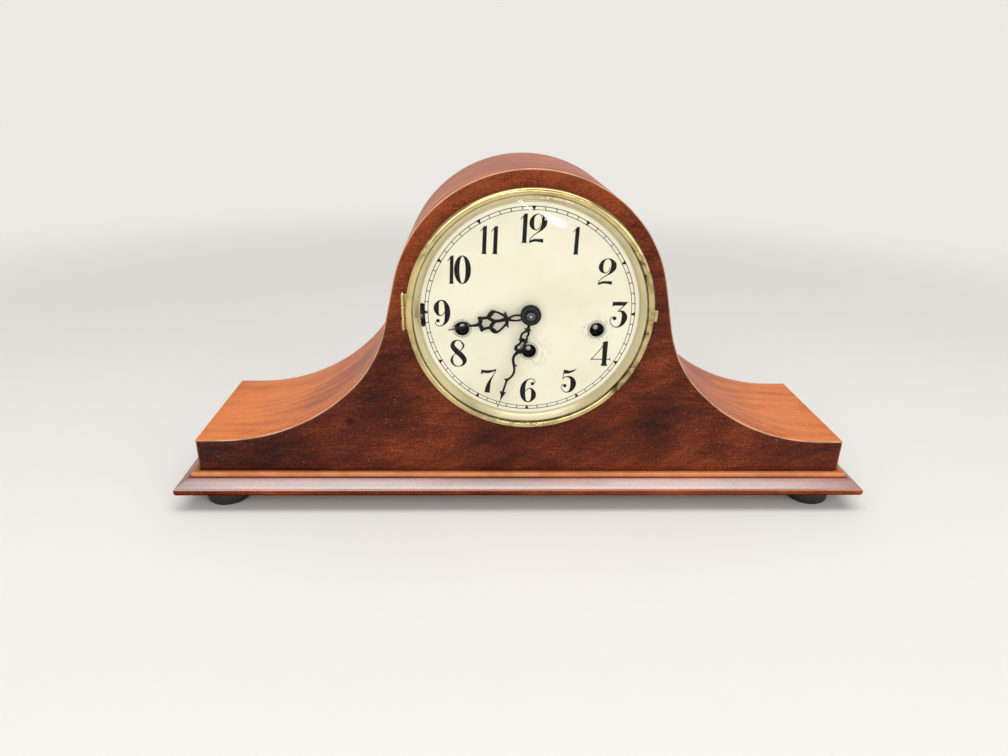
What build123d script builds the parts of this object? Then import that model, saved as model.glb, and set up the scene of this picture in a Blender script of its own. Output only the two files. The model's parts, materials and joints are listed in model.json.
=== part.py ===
from build123d import *
import math
import os

# Tambour mantel clock: a wooden case with a glazed dial, and a three-train spring movement
# that strikes and chimes on rods.
# Lengths are in millimetres. Seen from the front, X runs right, Y runs back and Z runs up.
# The table is at Z = 0, and X = Y = 0 is the middle of the whole clock.
# Case pieces are drawn with Y = 0 on the front face and Z = 0 on top of the base moulding.
# Dial and movement pieces are drawn from the centre of the dial, with Y = 0 on the front face.

# Case outline, seen from the front
case_width = 440.0
case_depth = 102.4
shoulder_height = 22.4
hump_radius = 87.0
hump_centre_height = 113.6
hump_side_angle = 12.4
flank_length = 30.2
upper_flare_radius = 86.9
lower_flare_radius = 127.7

# Case walls
wrap_thickness = 4.0
end_thickness = 8.0
front_thickness = 16.0
front_lip = 3.0
front_edge_bevel = 0.5
panel_hole_radius = 60.0
back_thickness = 12.0
back_inset = 12.0
overrun = 5.0
join_gap = 0.3

# Base moulding, board and feet
moulding_height = 12.7
moulding_reach = 13.9
moulding_inner = 30.0
ledge_reach = 4.4
quirk_depth = 3.0
quirk_step = 0.8
nose_height = 5.0
nose_round = 1.0
base_drop = 3.3
base_reach = 3.0
foot_radius = 14.5
foot_height = 9.0
foot_round = 2.0
foot_front_gap = 6.0

# Wood screws
screw_radius = 1.9
screw_head_radius = 3.6
screw_head_height = 2.2
foot_screw_length = 12.0
block_screw_length = 22.0
strap_screw_length = 11.0

# Rear door and its hinges
door_radius = 70.0
door_foot_height = 20.0
door_thickness = 5.0
door_lap = 5.0
door_slot_width = 4.0
door_slot_pitch = 11.0
door_slot_count = 7
door_slot_length = 56.0
knob_radius = 6.0
knob_neck_radius = 3.2
knob_length = 6.0
door_axis_gap = 2.2
door_knuckle_radius = 2.0
door_pin_radius = 1.1
door_hinge_length = 24.0
door_knuckle_count = 3
door_leaf_length = 11.0
door_leaf_thickness = 0.8
door_hinge_heights_share = [0.18, 0.82]
running_gap = 0.05
knuckle_gap = 0.2

# Dial pan and dial plate
pan_radius = 72.6
pan_rim_depth = 6.4
pan_cone_radius = 69.1
pan_thickness = 1.0
pan_rim_width = 0.6
dial_radius = 68.9
dial_thickness = 0.8
dial_centre_hole_radius = 5.2
dial_foot_radius = 2.0
dial_foot_side = 45.0
dial_foot_up = 30.0
dial_foot_down = 34.0
dial_spigot_radius = 1.5
dial_spigot_length = 3.0

# Winding holes and their grommets
side_arbor_x = 42.5
side_arbor_drop = 10.4
middle_arbor_drop = 25.0
winding_hole_radius = 5.0
grommet_radius = 6.05
grommet_bore_radius = 4.6
grommet_lip = 0.7
grommet_depth = 0.5

# Chime lever slot
slot_radius = 67.3
slot_width = 2.8
slot_top = 5.9
slot_bottom = 9.7

# Bezel, glass and bezel hinge
bezel_inner_radius = 73.3
bezel_outer_radius = 77.6
bezel_depth = 8.6
bezel_corner = 0.4
bezel_shoulder_depth = 5.4
bezel_crown_inset = 2.0
bezel_lip_width = 0.7
glass_seat_radius = 75.1
glass_seat_depth = 7.9
glass_thickness = 1.2
glass_crown = 13.2
glass_edge_gap = 0.1
retainer_width = 1.6
retainer_height = 1.0
bezel_axis_x = 79.1
bezel_axis_depth = 1.9
bezel_knuckle_radius = 1.3
bezel_pin_radius = 0.6
bezel_web_depth = 1.0
bezel_hinge_height = 23.2
bezel_middle_knuckle = 8.0
bezel_leaf_thickness = 1.0
bezel_leaf_height = 14.0
tab_reach = 1.9
tab_height = 7.8
tab_front = 6.5
tab_back = 3.0

# Movement plates, pillars, nuts and straps
plate_gap_to_panel = 2.0
plate_thickness = 2.0
plate_spacing = 24.0
plate_half_width = 64.0
plate_top = 44.0
plate_bottom = 52.0
pillar_radius = 4.0
pillar_side = 57.0
pillar_up = 37.0
pillar_down = 45.0
pillar_spigot_radius = 2.0
nut_radius = 3.6
nut_sides = 6
nut_height = 2.6
strap_length = 23.0
strap_height = 10.0
strap_outer_x = 76.0
strap_up = 19.0
strap_down = 34.0
strap_hole_inset = 5.0
bolt_head_radius = 3.0
bolt_head_height = 1.6
bolt_radius = 1.5

# Barrels, winding arbors, ratchets and clicks
barrel_module = 0.5
great_teeth = 84
great_thickness = 2.0
great_gap = 2.0
barrel_pinion_teeth = 12
drum_radius = 18.5
drum_length = 15.0
drum_wall = 1.0
mainspring_inner_radius = 6.0
mainspring_gap = 0.3
winding_arbor_radius = 2.5
winding_pivot_radius = 2.0
winding_square = 3.6
winding_tip_depth = 3.0
winding_square_depth = 11.0
ratchet_teeth = 20
ratchet_radius = 9.0
ratchet_tooth_height = 1.2
ratchet_thickness = 2.0
ratchet_plate_gap = 1.5
click_drop = 13.5
click_hub_radius = 2.2
click_stud_radius = 1.0
click_tip_angle = 25.0
click_tip_gap = 0.4
click_width = 1.8

# Going train
arbor_radius = 1.2
pivot_radius = 0.7
centre_arbor_radius = 1.5
shoulder_gap = 0.3
level_thickness = 1.0
level_pitch = 1.6
second_teeth = 60
centre_module = 0.45
centre_pinion_teeth = 10
centre_teeth = 80
third_module = 0.34
third_pinion_teeth = 8
third_teeth = 72
third_arbor_radius = 0.8
third_level = 5.0
escape_module = 0.3
escape_pinion_teeth = 8
escape_arbor_radius = 0.7
escape_teeth = 30
escape_radius = 7.0
escape_tooth_height = 1.3
escape_level = 12.0
escape_thickness = 0.8
anchor_rise = 10.5
anchor_reach = 7.2
anchor_drop = 5.3
anchor_hub_radius = 2.0
anchor_width = 1.0
fork_length = 12.0
fork_width = 1.6
fork_gap = 1.0
pinion_side = 0.4

# Motion work and hands
cannon_teeth = 14
minute_wheel_teeth = 42
motion_module = 0.5
cannon_radius = 2.2
cannon_back_gap = 0.5
minute_wheel_thickness = 2.0
motion_angle = 45.0
hour_pinion_teeth = 10
hour_teeth = 40
hour_wheel_thickness = 1.5
hour_wheel_gap = 2.5
hour_pipe_radius = 3.4
motion_stud_radius = 1.0
minute_hand_length = 65.4
minute_hand_angle = -107.4
minute_hand_depth = 6.2
hour_hand_length = 52.4
hour_hand_angle = -168.4
hour_hand_depth = 5.0
hand_thickness = 0.6
hand_stroke_weight = 1.45
hand_hub_radius = 6.4
collet_radius = 6.5
collet_step_radius = 4.9
collet_rim_height = 0.8
collet_step_height = 0.8
nut_dome_radius = 3.0
nut_dome_height = 1.9

# Balance and its bracket, behind the back plate
balance_x = 25.0
balance_height = 26.0
balance_radius = 9.5
balance_rim_width = 1.8
balance_rim_height = 2.2
balance_hub_radius = 2.4
balance_spoke_width = 1.6
balance_gap = 2.0
staff_radius = 1.3
staff_bore_radius = 0.45
staff_length = 21.0
wire_radius = 0.4
cock_width = 8.0
cock_plate_thickness = 1.4
cock_arm_height = 2.0

# Chime drum, hammers and rods
drum_gear_teeth = 30
chime_arbor_angle = 120.0
drum_angle = -43.0
stud_radius = 1.5
stud_end_gap = 1.4
drum_core_radius = 4.0
cam_radius = 7.5
cam_notch_radius = 1.3
cam_notch_count = 9
cam_thickness = 1.6
rear_gear_gap = 1.5
rear_gear_thickness = 1.5
hammer_count = 5
hammer_pitch = 5.2
first_hammer_gap = 4.6
hammer_pivot_x = 44.0
hammer_pivot_drop = 26.0
hammer_bush_radius = 2.6
hammer_bush_length = 4.6
hammer_arm_radius = 0.8
hammer_head_radius = 2.3
hammer_head_length = 10.0
hammer_strike_gap = 0.3
hammer_tail_gap = 0.4
hammer_tail_width = 1.4
rod_radius = 1.5
rod_height = 28.0
rod_neck_radius = 0.8
rod_neck_length = 6.0
rod_lengths = [230.0, 217.0, 205.0, 192.0, 180.0]
rod_seat_depth = 10.0
block_x = 118.0
block_length = 20.0
block_margin = 6.0
block_height = 34.0

# Chime lever
lever_pivot_x = 25.0
lever_drop = 1.9
lever_width = 4.0
lever_thickness = 1.0
lever_depth = 0.8
lever_hub_radius = 3.5
lever_tip_width = 1.4
lever_tip_height = 3.0
lever_tip_proud = 4.0
recess_depth = 3.0
recess_height = 20.0
recess_reach = 70.5

# Wheel tooth and pinion leaf, as shares of the module: height from the pitch circle, half width
wheel_tooth_shares = [(-1.4, -0.7), (0, -0.7), (1.0, -0.18), (1.0, 0.18), (0, 0.7), (-1.4, 0.7)]
leaf_shares = [(-1.5, -0.5), (0, -0.5), (0.55, -0.2), (0.55, 0.2), (0, 0.5), (-1.5, 0.5)]
spoke_count = 4
rim_share = 0.84
escape_rim_share = 0.7
round_share = 0.29
dome_share = 0.7
click_point_share = 0.25
hub_share = 0.32
spoke_share = 0.16
crossed_wheel_radius = 7.2

# Serpentine hands. Each stroke is a row of (along, across, width) as shares of the hand's length.
hour_stroke_shares = [
    [(0.104, -0.005, 0.016), (0.157, -0.024, 0.016), (0.206, -0.024, 0.016), (0.268, 0.004, 0.026)],
    [(0.108, 0.036, 0.016), (0.157, 0.042, 0.015), (0.206, 0.035, 0.015), (0.268, 0.004, 0.026)],
    [(0.285, -0.096, 0.004), (0.294, -0.062, 0.022), (0.291, -0.012, 0.040), (0.291, 0.004, 0.048)],
    [(0.285, 0.108, 0.004), (0.294, 0.070, 0.022), (0.291, 0.030, 0.030), (0.291, 0.004, 0.040)],
    [(0.296, -0.036, 0.020), (0.350, -0.082, 0.018), (0.393, -0.110, 0.017), (0.436, -0.121, 0.030)],
    [(0.436, -0.116, 0.034), (0.468, -0.095, 0.038), (0.500, -0.061, 0.030)],
    [(0.445, -0.144, 0.004), (0.441, -0.128, 0.022), (0.437, -0.112, 0.024)],
    [(0.500, -0.061, 0.028), (0.470, -0.030, 0.028), (0.429, -0.003, 0.026), (0.366, 0.004, 0.026),
     (0.285, 0.001, 0.040)],
    [(0.296, 0.045, 0.022), (0.330, 0.079, 0.019), (0.370, 0.108, 0.018), (0.408, 0.130, 0.018),
     (0.447, 0.138, 0.026)],
    [(0.445, 0.134, 0.032), (0.475, 0.104, 0.036), (0.496, 0.068, 0.030)],
    [(0.449, 0.154, 0.004), (0.447, 0.142, 0.022), (0.448, 0.128, 0.026)],
    [(0.494, 0.070, 0.030), (0.473, 0.034, 0.032), (0.438, 0.006, 0.028)],
    [(0.496, -0.063, 0.030), (0.553, -0.064, 0.024), (0.603, -0.074, 0.030)],
    [(0.603, -0.072, 0.034), (0.597, -0.042, 0.036), (0.620, -0.003, 0.030)],
    [(0.620, -0.003, 0.030), (0.604, 0.040, 0.034), (0.603, 0.072, 0.032)],
    [(0.621, -0.092, 0.004), (0.612, -0.080, 0.020), (0.598, -0.066, 0.028)],
    [(0.616, 0.100, 0.004), (0.609, 0.084, 0.022), (0.598, 0.066, 0.028)],
    [(0.603, 0.073, 0.030), (0.553, 0.066, 0.022), (0.492, 0.068, 0.028)],
    [(0.616, -0.003, 0.036), (0.652, 0.005, 0.026), (0.711, 0.000, 0.019), (0.850, -0.001, 0.014),
     (1.0, 0.0, 0.006)],
]
minute_stroke_shares = [
    [(0.070, 0.010, 0.022), (0.110, 0.019, 0.020), (0.156, 0.028, 0.022)],
    [(0.144, -0.016, 0.003), (0.146, 0.006, 0.018), (0.144, 0.022, 0.024), (0.142, 0.040, 0.014),
     (0.140, 0.057, 0.003)],
    [(0.153, 0.026, 0.018), (0.176, 0.000, 0.015), (0.200, -0.016, 0.014), (0.226, -0.019, 0.015),
     (0.256, -0.006, 0.018)],
    [(0.153, 0.028, 0.018), (0.176, 0.041, 0.015), (0.194, 0.043, 0.014), (0.211, 0.033, 0.013)],
    [(0.211, 0.033, 0.013), (0.226, 0.042, 0.014), (0.242, 0.044, 0.016), (0.260, 0.036, 0.020)],
    [(0.266, -0.032, 0.003), (0.262, -0.018, 0.014), (0.259, 0.004, 0.026), (0.262, 0.030, 0.026),
     (0.268, 0.064, 0.004)],
    [(0.266, -0.006, 0.018), (0.290, -0.002, 0.016), (0.312, -0.010, 0.016),
     (0.334, -0.026, 0.017), (0.366, -0.024, 0.020)],
    [(0.264, 0.034, 0.018), (0.288, 0.041, 0.017), (0.320, 0.044, 0.017), (0.350, 0.038, 0.020),
     (0.374, 0.018, 0.024)],
    [(0.378, -0.042, 0.003), (0.370, -0.026, 0.016), (0.372, -0.006, 0.028),
     (0.382, 0.018, 0.026), (0.378, 0.056, 0.004)],
    [(0.380, 0.012, 0.026), (0.410, -0.005, 0.022), (0.440, -0.016, 0.019),
     (0.478, -0.013, 0.018), (0.517, 0.006, 0.019),
     (0.551, 0.023, 0.016), (0.592, 0.036, 0.015), (0.633, 0.035, 0.014), (0.672, 0.018, 0.014),
     (0.702, -0.003, 0.015)],
    [(0.527, 0.043, 0.003), (0.530, 0.028, 0.014), (0.532, 0.012, 0.022)],
    [(0.695, -0.030, 0.003), (0.698, -0.014, 0.014), (0.698, 0.000, 0.020)],
    [(0.696, -0.001, 0.016), (0.757, -0.001, 0.013), (0.840, 0.002, 0.014)],
    [(0.832, -0.028, 0.003), (0.842, -0.012, 0.020), (0.846, 0.004, 0.030), (0.838, 0.018, 0.018),
     (0.828, 0.034, 0.003)],
    [(0.842, 0.003, 0.034), (0.866, 0.005, 0.022), (0.890, 0.006, 0.013), (1.0, 0.0, 0.009)],
]

# Sizes that follow from the ones above
face_y = moulding_reach - (case_depth + moulding_reach) / 2
ledge_z = foot_height + base_drop + moulding_height
back_front = case_depth - back_inset - back_thickness
back_rear = case_depth - back_inset
plate_front = front_thickness + plate_gap_to_panel
plate_inner = plate_front + plate_thickness
rear_inner = plate_inner + plate_spacing
rear_face = rear_inner + plate_thickness
great_front = plate_inner + great_gap
drum_front = great_front + great_thickness
drum_back = drum_front + drum_length
second_level = plate_inner + plate_spacing - level_pitch * 2 - level_thickness
centre_level = plate_inner + plate_spacing - level_pitch - level_thickness + join_gap
hammer_depths = [rear_face + first_hammer_gap + hammer_pitch * i for i in range(hammer_count)]
stud_end = back_front - stud_end_gap

# Arbor places, as (x, z) from the centre of the dial
time_arbor = (0, -middle_arbor_drop)
strike_arbor = (-side_arbor_x, -side_arbor_drop)
chime_arbor = (side_arbor_x, -side_arbor_drop)
winding_arbors = {"time": time_arbor, "strike": strike_arbor, "chime": chime_arbor}


def polar(radius, angle, about=(0, 0)):
    """Point at a radius and an angle in degrees about another point."""
    turn = math.radians(angle)
    return (about[0] + radius * math.cos(turn), about[1] + radius * math.sin(turn))


def pitch_radius(teeth, module):
    """Pitch radius of a wheel or pinion."""
    return teeth * module / 2


def meeting_point(first, first_radius, second, second_radius):
    """Left one of the two points at given distances from two points."""
    gap = math.dist(first, second)
    along = (gap ** 2 + first_radius ** 2 - second_radius ** 2) / (2 * gap)
    across = math.sqrt(first_radius ** 2 - along ** 2)
    unit = ((second[0] - first[0]) / gap, (second[1] - first[1]) / gap)
    foot = (first[0] + along * unit[0], first[1] + along * unit[1])
    return (foot[0] - across * unit[1], foot[1] + across * unit[0])


def heading(start, end):
    """Angle in degrees from one point to another."""
    return math.degrees(math.atan2(end[1] - start[1], end[0] - start[0]))


barrel_distance = pitch_radius(great_teeth + barrel_pinion_teeth, barrel_module)
centre_distance = pitch_radius(second_teeth + centre_pinion_teeth, centre_module)
third_distance = pitch_radius(centre_teeth + third_pinion_teeth, third_module)
escape_distance = pitch_radius(third_teeth + escape_pinion_teeth, escape_module)
motion_distance = pitch_radius(cannon_teeth + minute_wheel_teeth, motion_module)
hour_module = 2 * motion_distance / (hour_pinion_teeth + hour_teeth)
drum_distance = 2 * pitch_radius(drum_gear_teeth, barrel_module)
centre_arbor = (0, 0)
second_arbor = meeting_point(time_arbor, barrel_distance, centre_arbor, centre_distance)
third_arbor = polar(third_distance, 90)
escape_arbor = polar(escape_distance, 90, third_arbor)
anchor_arbor = polar(anchor_rise, 90, escape_arbor)
minute_stud = polar(motion_distance, motion_angle)
chime_wheel_arbor = polar(barrel_distance, chime_arbor_angle, chime_arbor)
strike_wheel_arbor = (-chime_wheel_arbor[0], chime_wheel_arbor[1])
drum_stud = polar(drum_distance, drum_angle, chime_wheel_arbor)
hammer_pivot = (hammer_pivot_x, -hammer_pivot_drop)
lever_pivot = (-lever_pivot_x, -lever_drop)


def slab(face, front, back):
    """Solid of a face drawn in X and Z, from one depth to another."""
    return Pos(0, front, 0) * extrude(Plane.XZ * face, amount=back - front, dir=(0, 1, 0))


def disc(radius, front, back, at=(0, 0)):
    """Round solid along Y."""
    return slab(Pos(at[0], at[1]) * Circle(radius), front, back)


def tube(radius, bore, front, back, at=(0, 0)):
    """Round solid along Y with a round bore."""
    return disc(radius, front, back, at) - disc(bore, front - overrun, back + overrun, at)


def block(low, high):
    """Rectangular solid between two corners."""
    size = [b - a for a, b in zip(low, high)]
    return Pos(*low) * Box(*size, align=(Align.MIN, Align.MIN, Align.MIN))


def upright(radius, x, y, low, high):
    """Round solid along Z."""
    return Pos(x, y, low) * Cylinder(radius, high - low, align=(Align.CENTER, Align.CENTER, Align.MIN))


def turned(edges):
    """Solid turned about Y from edges drawn as (radius, depth)."""
    return revolve(make_face(edges), axis=Axis.Y)


def outline(points):
    """Face with straight edges through the points."""
    return make_face(Polyline(*points, close=True))


def moved(at, shape):
    """Shape moved to a place given as (x, z)."""
    return Pos(at[0], 0, at[1]) * shape


def group(solids):
    """Several separate solids as one shape."""
    return Compound([solid for shape in solids for solid in shape.solids()])


def toothed_face(teeth, module, facing, shares):
    """Outline of a wheel or pinion, with a tooth centred on an angle in degrees."""
    pitch = pitch_radius(teeth, module)
    points = []
    for i in range(teeth):
        for height, half_width in shares:
            turn = math.degrees(half_width * module / pitch)
            points.append(polar(pitch + height * module, facing + 360 * i / teeth + turn))
    return outline(points)


def wheel_windows(rim_radius, hub_radius, spoke_width):
    """Faces that are cut between the spokes of a wheel."""
    half = 180 / spoke_count
    outer = half - math.degrees(spoke_width / rim_radius / 2)
    inner = half - math.degrees(spoke_width / hub_radius / 2)
    faces = []
    for i in range(spoke_count):
        middle = half + 2 * half * i
        faces.append(make_face([
            CenterArc((0, 0), rim_radius, middle - outer, 2 * outer),
            Line(polar(rim_radius, middle + outer), polar(hub_radius, middle + inner)),
            CenterArc((0, 0), hub_radius, middle - inner, 2 * inner),
            Line(polar(hub_radius, middle - inner), polar(rim_radius, middle - outer))]))
    return faces


def wheel(teeth, module, front, thickness, facing=0.0):
    """Flat clock wheel, crossed out where it is large enough."""
    solid = slab(toothed_face(teeth, module, facing, wheel_tooth_shares), front, front + thickness)
    pitch = pitch_radius(teeth, module)
    if pitch > crossed_wheel_radius:
        for face in wheel_windows(pitch * rim_share, pitch * hub_share, pitch * spoke_share):
            solid -= slab(face, front - overrun, front + thickness + overrun)
    return solid


def pinion(teeth, module, front, back, gap_facing):
    """Pinion whose gap between two leaves is centred on an angle in degrees."""
    facing = gap_facing + 180 / teeth
    return slab(toothed_face(teeth, module, facing, leaf_shares), front, back)


def saw_face(teeth, radius, tooth_height):
    """Outline of a ratchet or escape wheel."""
    points = []
    for i in range(teeth):
        points.append(polar(radius, 360 * i / teeth))
        points.append(polar(radius - tooth_height, 360 * (i + 1) / teeth))
    return outline(points)


def plain_arbor(radius, front=plate_inner + shoulder_gap, back=rear_inner - shoulder_gap):
    """Arbor between the plates, with its two pivots."""
    pivots = disc(pivot_radius, plate_front, rear_face)
    return disc(radius, front, back) + pivots


def case_face(inset=0.0, side_inset=0.0, floor=0.0):
    """Outline of the case, drawn in by inset along its curved top."""
    crown = (0, hump_centre_height)
    start = polar(hump_radius, hump_side_angle, crown)
    down = (math.sin(math.radians(hump_side_angle)), -math.cos(math.radians(hump_side_angle)))
    knee = (start[0] + flank_length * down[0], start[1] + flank_length * down[1])
    upper = polar(upper_flare_radius, hump_side_angle, knee)
    rise = shoulder_height + lower_flare_radius - upper[1]
    run = math.sqrt((lower_flare_radius - upper_flare_radius) ** 2 - rise ** 2)
    lower = (upper[0] + run, shoulder_height + lower_flare_radius)
    join = heading(lower, upper) % 360
    edge_x = case_width / 2 - side_inset
    top = shoulder_height - inset
    flank_top = polar(hump_radius - inset, hump_side_angle, crown)
    flank_foot = polar(upper_flare_radius + inset, 180 + hump_side_angle, upper)
    half = [
        CenterArc(crown, hump_radius - inset, hump_side_angle, 90 - hump_side_angle),
        Line(flank_top, flank_foot),
        CenterArc(upper, upper_flare_radius + inset, 180 + hump_side_angle, join - 180 - hump_side_angle),
        CenterArc(lower, lower_flare_radius + inset, join, 270 - join),
        Line((lower[0], top), (edge_x, top)),
        Line((edge_x, top), (edge_x, floor)),
        Line((edge_x, floor), (0, floor))]
    return make_face(half + [mirror(edge, about=Plane.YZ) for edge in half])


def lever_recess():
    """Room for the chime lever in the face of the front panel."""
    middle = hump_centre_height - lever_drop
    return block((-recess_reach, -overrun, middle - recess_height / 2),
                 (-panel_hole_radius + overrun, recess_depth, middle + recess_height / 2))


def bezel_leaf_block(height, thickness):
    """Leaf of the bezel hinge, from under the bezel ring to past its knuckle."""
    low = (-bezel_axis_x - bezel_knuckle_radius, 0, -height / 2)
    high = (-pan_radius - knuckle_gap, thickness, height / 2)
    return block(low, high)


def strap_places():
    """Side and height of each mounting strap."""
    return [(side, up) for side in (-1, 1) for up in (strap_up, -strap_down)]


def front_panel():
    """Front board of the case, with a thin lip over the ends of the top wrap."""
    board = slab(case_face(), 0, front_lip)
    board = chamfer(board.faces().sort_by(Axis.Y)[0].edges(), front_edge_bevel)
    board += slab(case_face(wrap_thickness, end_thickness), front_lip, front_thickness)
    centre = (0, hump_centre_height)
    board -= disc(panel_hole_radius, -overrun, front_thickness + overrun, centre)
    board -= lever_recess()
    board -= moved(centre, bezel_leaf_block(bezel_leaf_height, bezel_leaf_thickness))
    for side, up in strap_places():
        at = (side * (strap_outer_x - strap_hole_inset), hump_centre_height + up)
        board -= disc(screw_radius, plate_front - strap_screw_length, front_thickness + overrun, at)
    return board


def top_wrap():
    """Bent skin over the whole top of the case."""
    band = case_face() - case_face(wrap_thickness, -overrun, -overrun)
    return slab(band, front_lip, case_depth)


def end_boards():
    """Short upright boards at the two ends."""
    low = (case_width / 2 - end_thickness, front_lip, 0)
    right = block(low, (case_width / 2, case_depth, shoulder_height - wrap_thickness))
    return group([right, mirror(right, about=Plane.YZ)])


def arch_face(radius, foot):
    """Arch centred on the dial, with a straight foot."""
    centre = (0, hump_centre_height)
    return make_face([
        CenterArc(centre, radius, 0, 180),
        Line((-radius, hump_centre_height), (-radius, foot)),
        Line((-radius, foot), (radius, foot)),
        Line((radius, foot), (radius, hump_centre_height))])


def back_panel():
    """Recessed back board with an arched opening behind the movement."""
    board = slab(case_face(wrap_thickness, end_thickness), back_front, back_rear)
    opening = arch_face(door_radius - door_lap, door_foot_height + door_lap)
    return board - slab(opening, back_front - overrun, back_rear + overrun)


def rear_door():
    """Arched door over the opening in the back, with sound slots."""
    front = back_rear + join_gap
    board = slab(arch_face(door_radius, door_foot_height), front, front + door_thickness)
    for i in range(door_slot_count):
        x = (i - (door_slot_count - 1) / 2) * door_slot_pitch
        slot = Pos(x, hump_centre_height) * SlotOverall(door_slot_length, door_slot_width, 90)
        board -= slab(slot, front - overrun, front + door_thickness + overrun)
    return board


def door_back():
    """Depth of the rear face of the door."""
    return back_rear + join_gap + door_thickness


def door_knob():
    """Turned knob on the free side of the door."""
    start = door_back()
    at = (-(door_radius + panel_hole_radius) / 2 + knob_neck_radius, hump_centre_height)
    knob = disc(knob_neck_radius, start, start + knob_length / 2, at)
    return knob + disc(knob_radius, start + knob_length / 2, start + knob_length, at)


def door_axis():
    """X and depth of the pin of the rear door."""
    return (door_radius + door_axis_gap, door_back() - door_knuckle_radius + door_leaf_thickness / 2)


def door_hinge_bottoms():
    """Lower ends of the two door hinges."""
    height = hump_centre_height - door_foot_height - door_hinge_length
    return [door_foot_height + height * share for share in door_hinge_heights_share]


def door_hinge_leaves():
    """Fixed leaves on the back board, each with its two outer knuckles."""
    x, y = door_axis()
    third = door_hinge_length / door_knuckle_count
    leaves = []
    for low in door_hinge_bottoms():
        high = low + door_hinge_length
        leaf = block((x, back_rear, low), (x + door_leaf_length, back_rear + door_leaf_thickness, high))
        for start in (low, high - third):
            knuckle = upright(door_knuckle_radius, x, y, start, start + third)
            knuckle += block((x, back_rear, start), (x + door_knuckle_radius, y, start + third))
            leaf += knuckle
        leaves.append(leaf - upright(door_pin_radius, x, y, low - overrun, high + overrun))
    return group(leaves)


def door_hinge_straps():
    """Moving leaves on the door, each with its middle knuckle."""
    x, y = door_axis()
    third = door_hinge_length / door_knuckle_count
    back = door_back()
    straps = []
    for low in door_hinge_bottoms():
        high = low + door_hinge_length
        left = door_radius - door_leaf_length
        strap = block((left, back, low), (door_radius, back + door_leaf_thickness, high))
        start = low + third + knuckle_gap
        end = high - third - knuckle_gap
        strap += block((left, back, start), (x, back + door_leaf_thickness / 2, end))
        strap += upright(door_knuckle_radius, x, y, start, end)
        straps.append(strap - upright(door_pin_radius + running_gap, x, y, low - overrun, high + overrun))
    return group(straps)


def hinge_pins():
    """Pins of the two door hinges and of the bezel hinge."""
    x, y = door_axis()
    pins = [upright(door_pin_radius, x, y, low, low + door_hinge_length) for low in door_hinge_bottoms()]
    low = hump_centre_height - bezel_hinge_height / 2
    pins.append(upright(bezel_pin_radius, -bezel_axis_x, -bezel_axis_depth, low, low + bezel_hinge_height))
    return group(pins)


def moulding_face():
    """Section of the moulding, as (distance out from the case, height)."""
    quirk = (ledge_reach + quirk_step, -quirk_depth)
    nose = (moulding_reach - quirk_step, nose_height - moulding_height)
    middle = ((quirk[0] + nose[0]) / 2, (quirk[1] + nose[1]) / 2)
    top = (moulding_reach, nose[1] - nose_round)
    foot = (moulding_reach, -moulding_height + nose_round)
    return make_face([
        Line((-moulding_inner, 0), (ledge_reach, 0)),
        Line((ledge_reach, 0), (ledge_reach, -quirk_depth)),
        Line((ledge_reach, -quirk_depth), quirk),
        Spline(quirk, middle, nose, tangents=[(1, -2), (1, -1)]),
        Spline(nose, top, tangents=[(1, -1), (0, -1)]),
        Line(top, foot),
        Spline(foot, (moulding_reach - nose_round, -moulding_height), tangents=[(0, -1), (-1, 0)]),
        Line((moulding_reach - nose_round, -moulding_height), (-moulding_inner, -moulding_height)),
        Line((-moulding_inner, -moulding_height), (-moulding_inner, 0))])


def foot_places():
    """X and depth of the four feet."""
    x = case_width / 2 - foot_radius
    front = foot_radius - foot_front_gap
    rear = case_depth - foot_radius
    return [(side * x, y) for side in (-1, 1) for y in (front, rear)]


def foot_screw_hole(x, y):
    """Hole for the screw of a foot, up from its underside."""
    bottom = -moulding_height - base_drop - foot_height
    return upright(screw_radius, x, y, bottom - overrun, bottom + foot_screw_length + screw_head_height)


def drill_feet(board):
    """Board with the holes of the foot screws."""
    for x, y in foot_places():
        board -= foot_screw_hole(x, y)
    return board


def front_moulding():
    """Front length of the base moulding, mitred at both ends."""
    half = case_width / 2
    section = Plane.YZ * mirror(moulding_face(), about=Plane.YZ)
    end = half + moulding_reach
    strip = Pos(-end, 0, 0) * extrude(section, amount=2 * end, dir=(1, 0, 0))
    plan = outline([(-end, -moulding_reach), (end, -moulding_reach),
                    (half - moulding_inner, moulding_inner), (-half + moulding_inner, moulding_inner)])
    cutter = Pos(0, 0, -moulding_height) * extrude(plan, amount=moulding_height, dir=(0, 0, 1))
    return drill_feet(strip & cutter)


def end_mouldings():
    """Left and right lengths of the base moulding, each mitred at the front."""
    half = case_width / 2
    strip = slab(Pos(half, 0) * moulding_face(), -moulding_reach, case_depth)
    plan = outline([(half + moulding_reach, -moulding_reach), (half + moulding_reach, case_depth),
                    (half - moulding_inner, case_depth), (half - moulding_inner, moulding_inner)])
    cutter = Pos(0, 0, -moulding_height) * extrude(plan, amount=moulding_height, dir=(0, 0, 1))
    right = drill_feet(strip & cutter)
    return group([right, mirror(right, about=Plane.YZ)])


def block_screw_places():
    """X and depth of the screws that hold the rod block."""
    x = -block_x + block_length / 2
    inset = hammer_pitch
    return [(x, hammer_depths[0] + inset / 2), (x, hammer_depths[-1] - inset / 2)]


def base_board():
    """Board inside the moulding, with a flange that closes the underside."""
    half = case_width / 2
    bottom = -moulding_height - base_drop
    flange = block((-half - base_reach, -base_reach, bottom),
                   (half + base_reach, case_depth, -moulding_height))
    core = block((-half + moulding_inner, moulding_inner, -moulding_height),
                 (half - moulding_inner, case_depth, 0))
    board = drill_feet(flange + core)
    for x, y in block_screw_places():
        board -= upright(screw_radius, x, y, bottom - overrun, overrun)
        board -= upright(screw_head_radius, x, y, bottom - overrun, bottom + screw_head_height)
    return board


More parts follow.
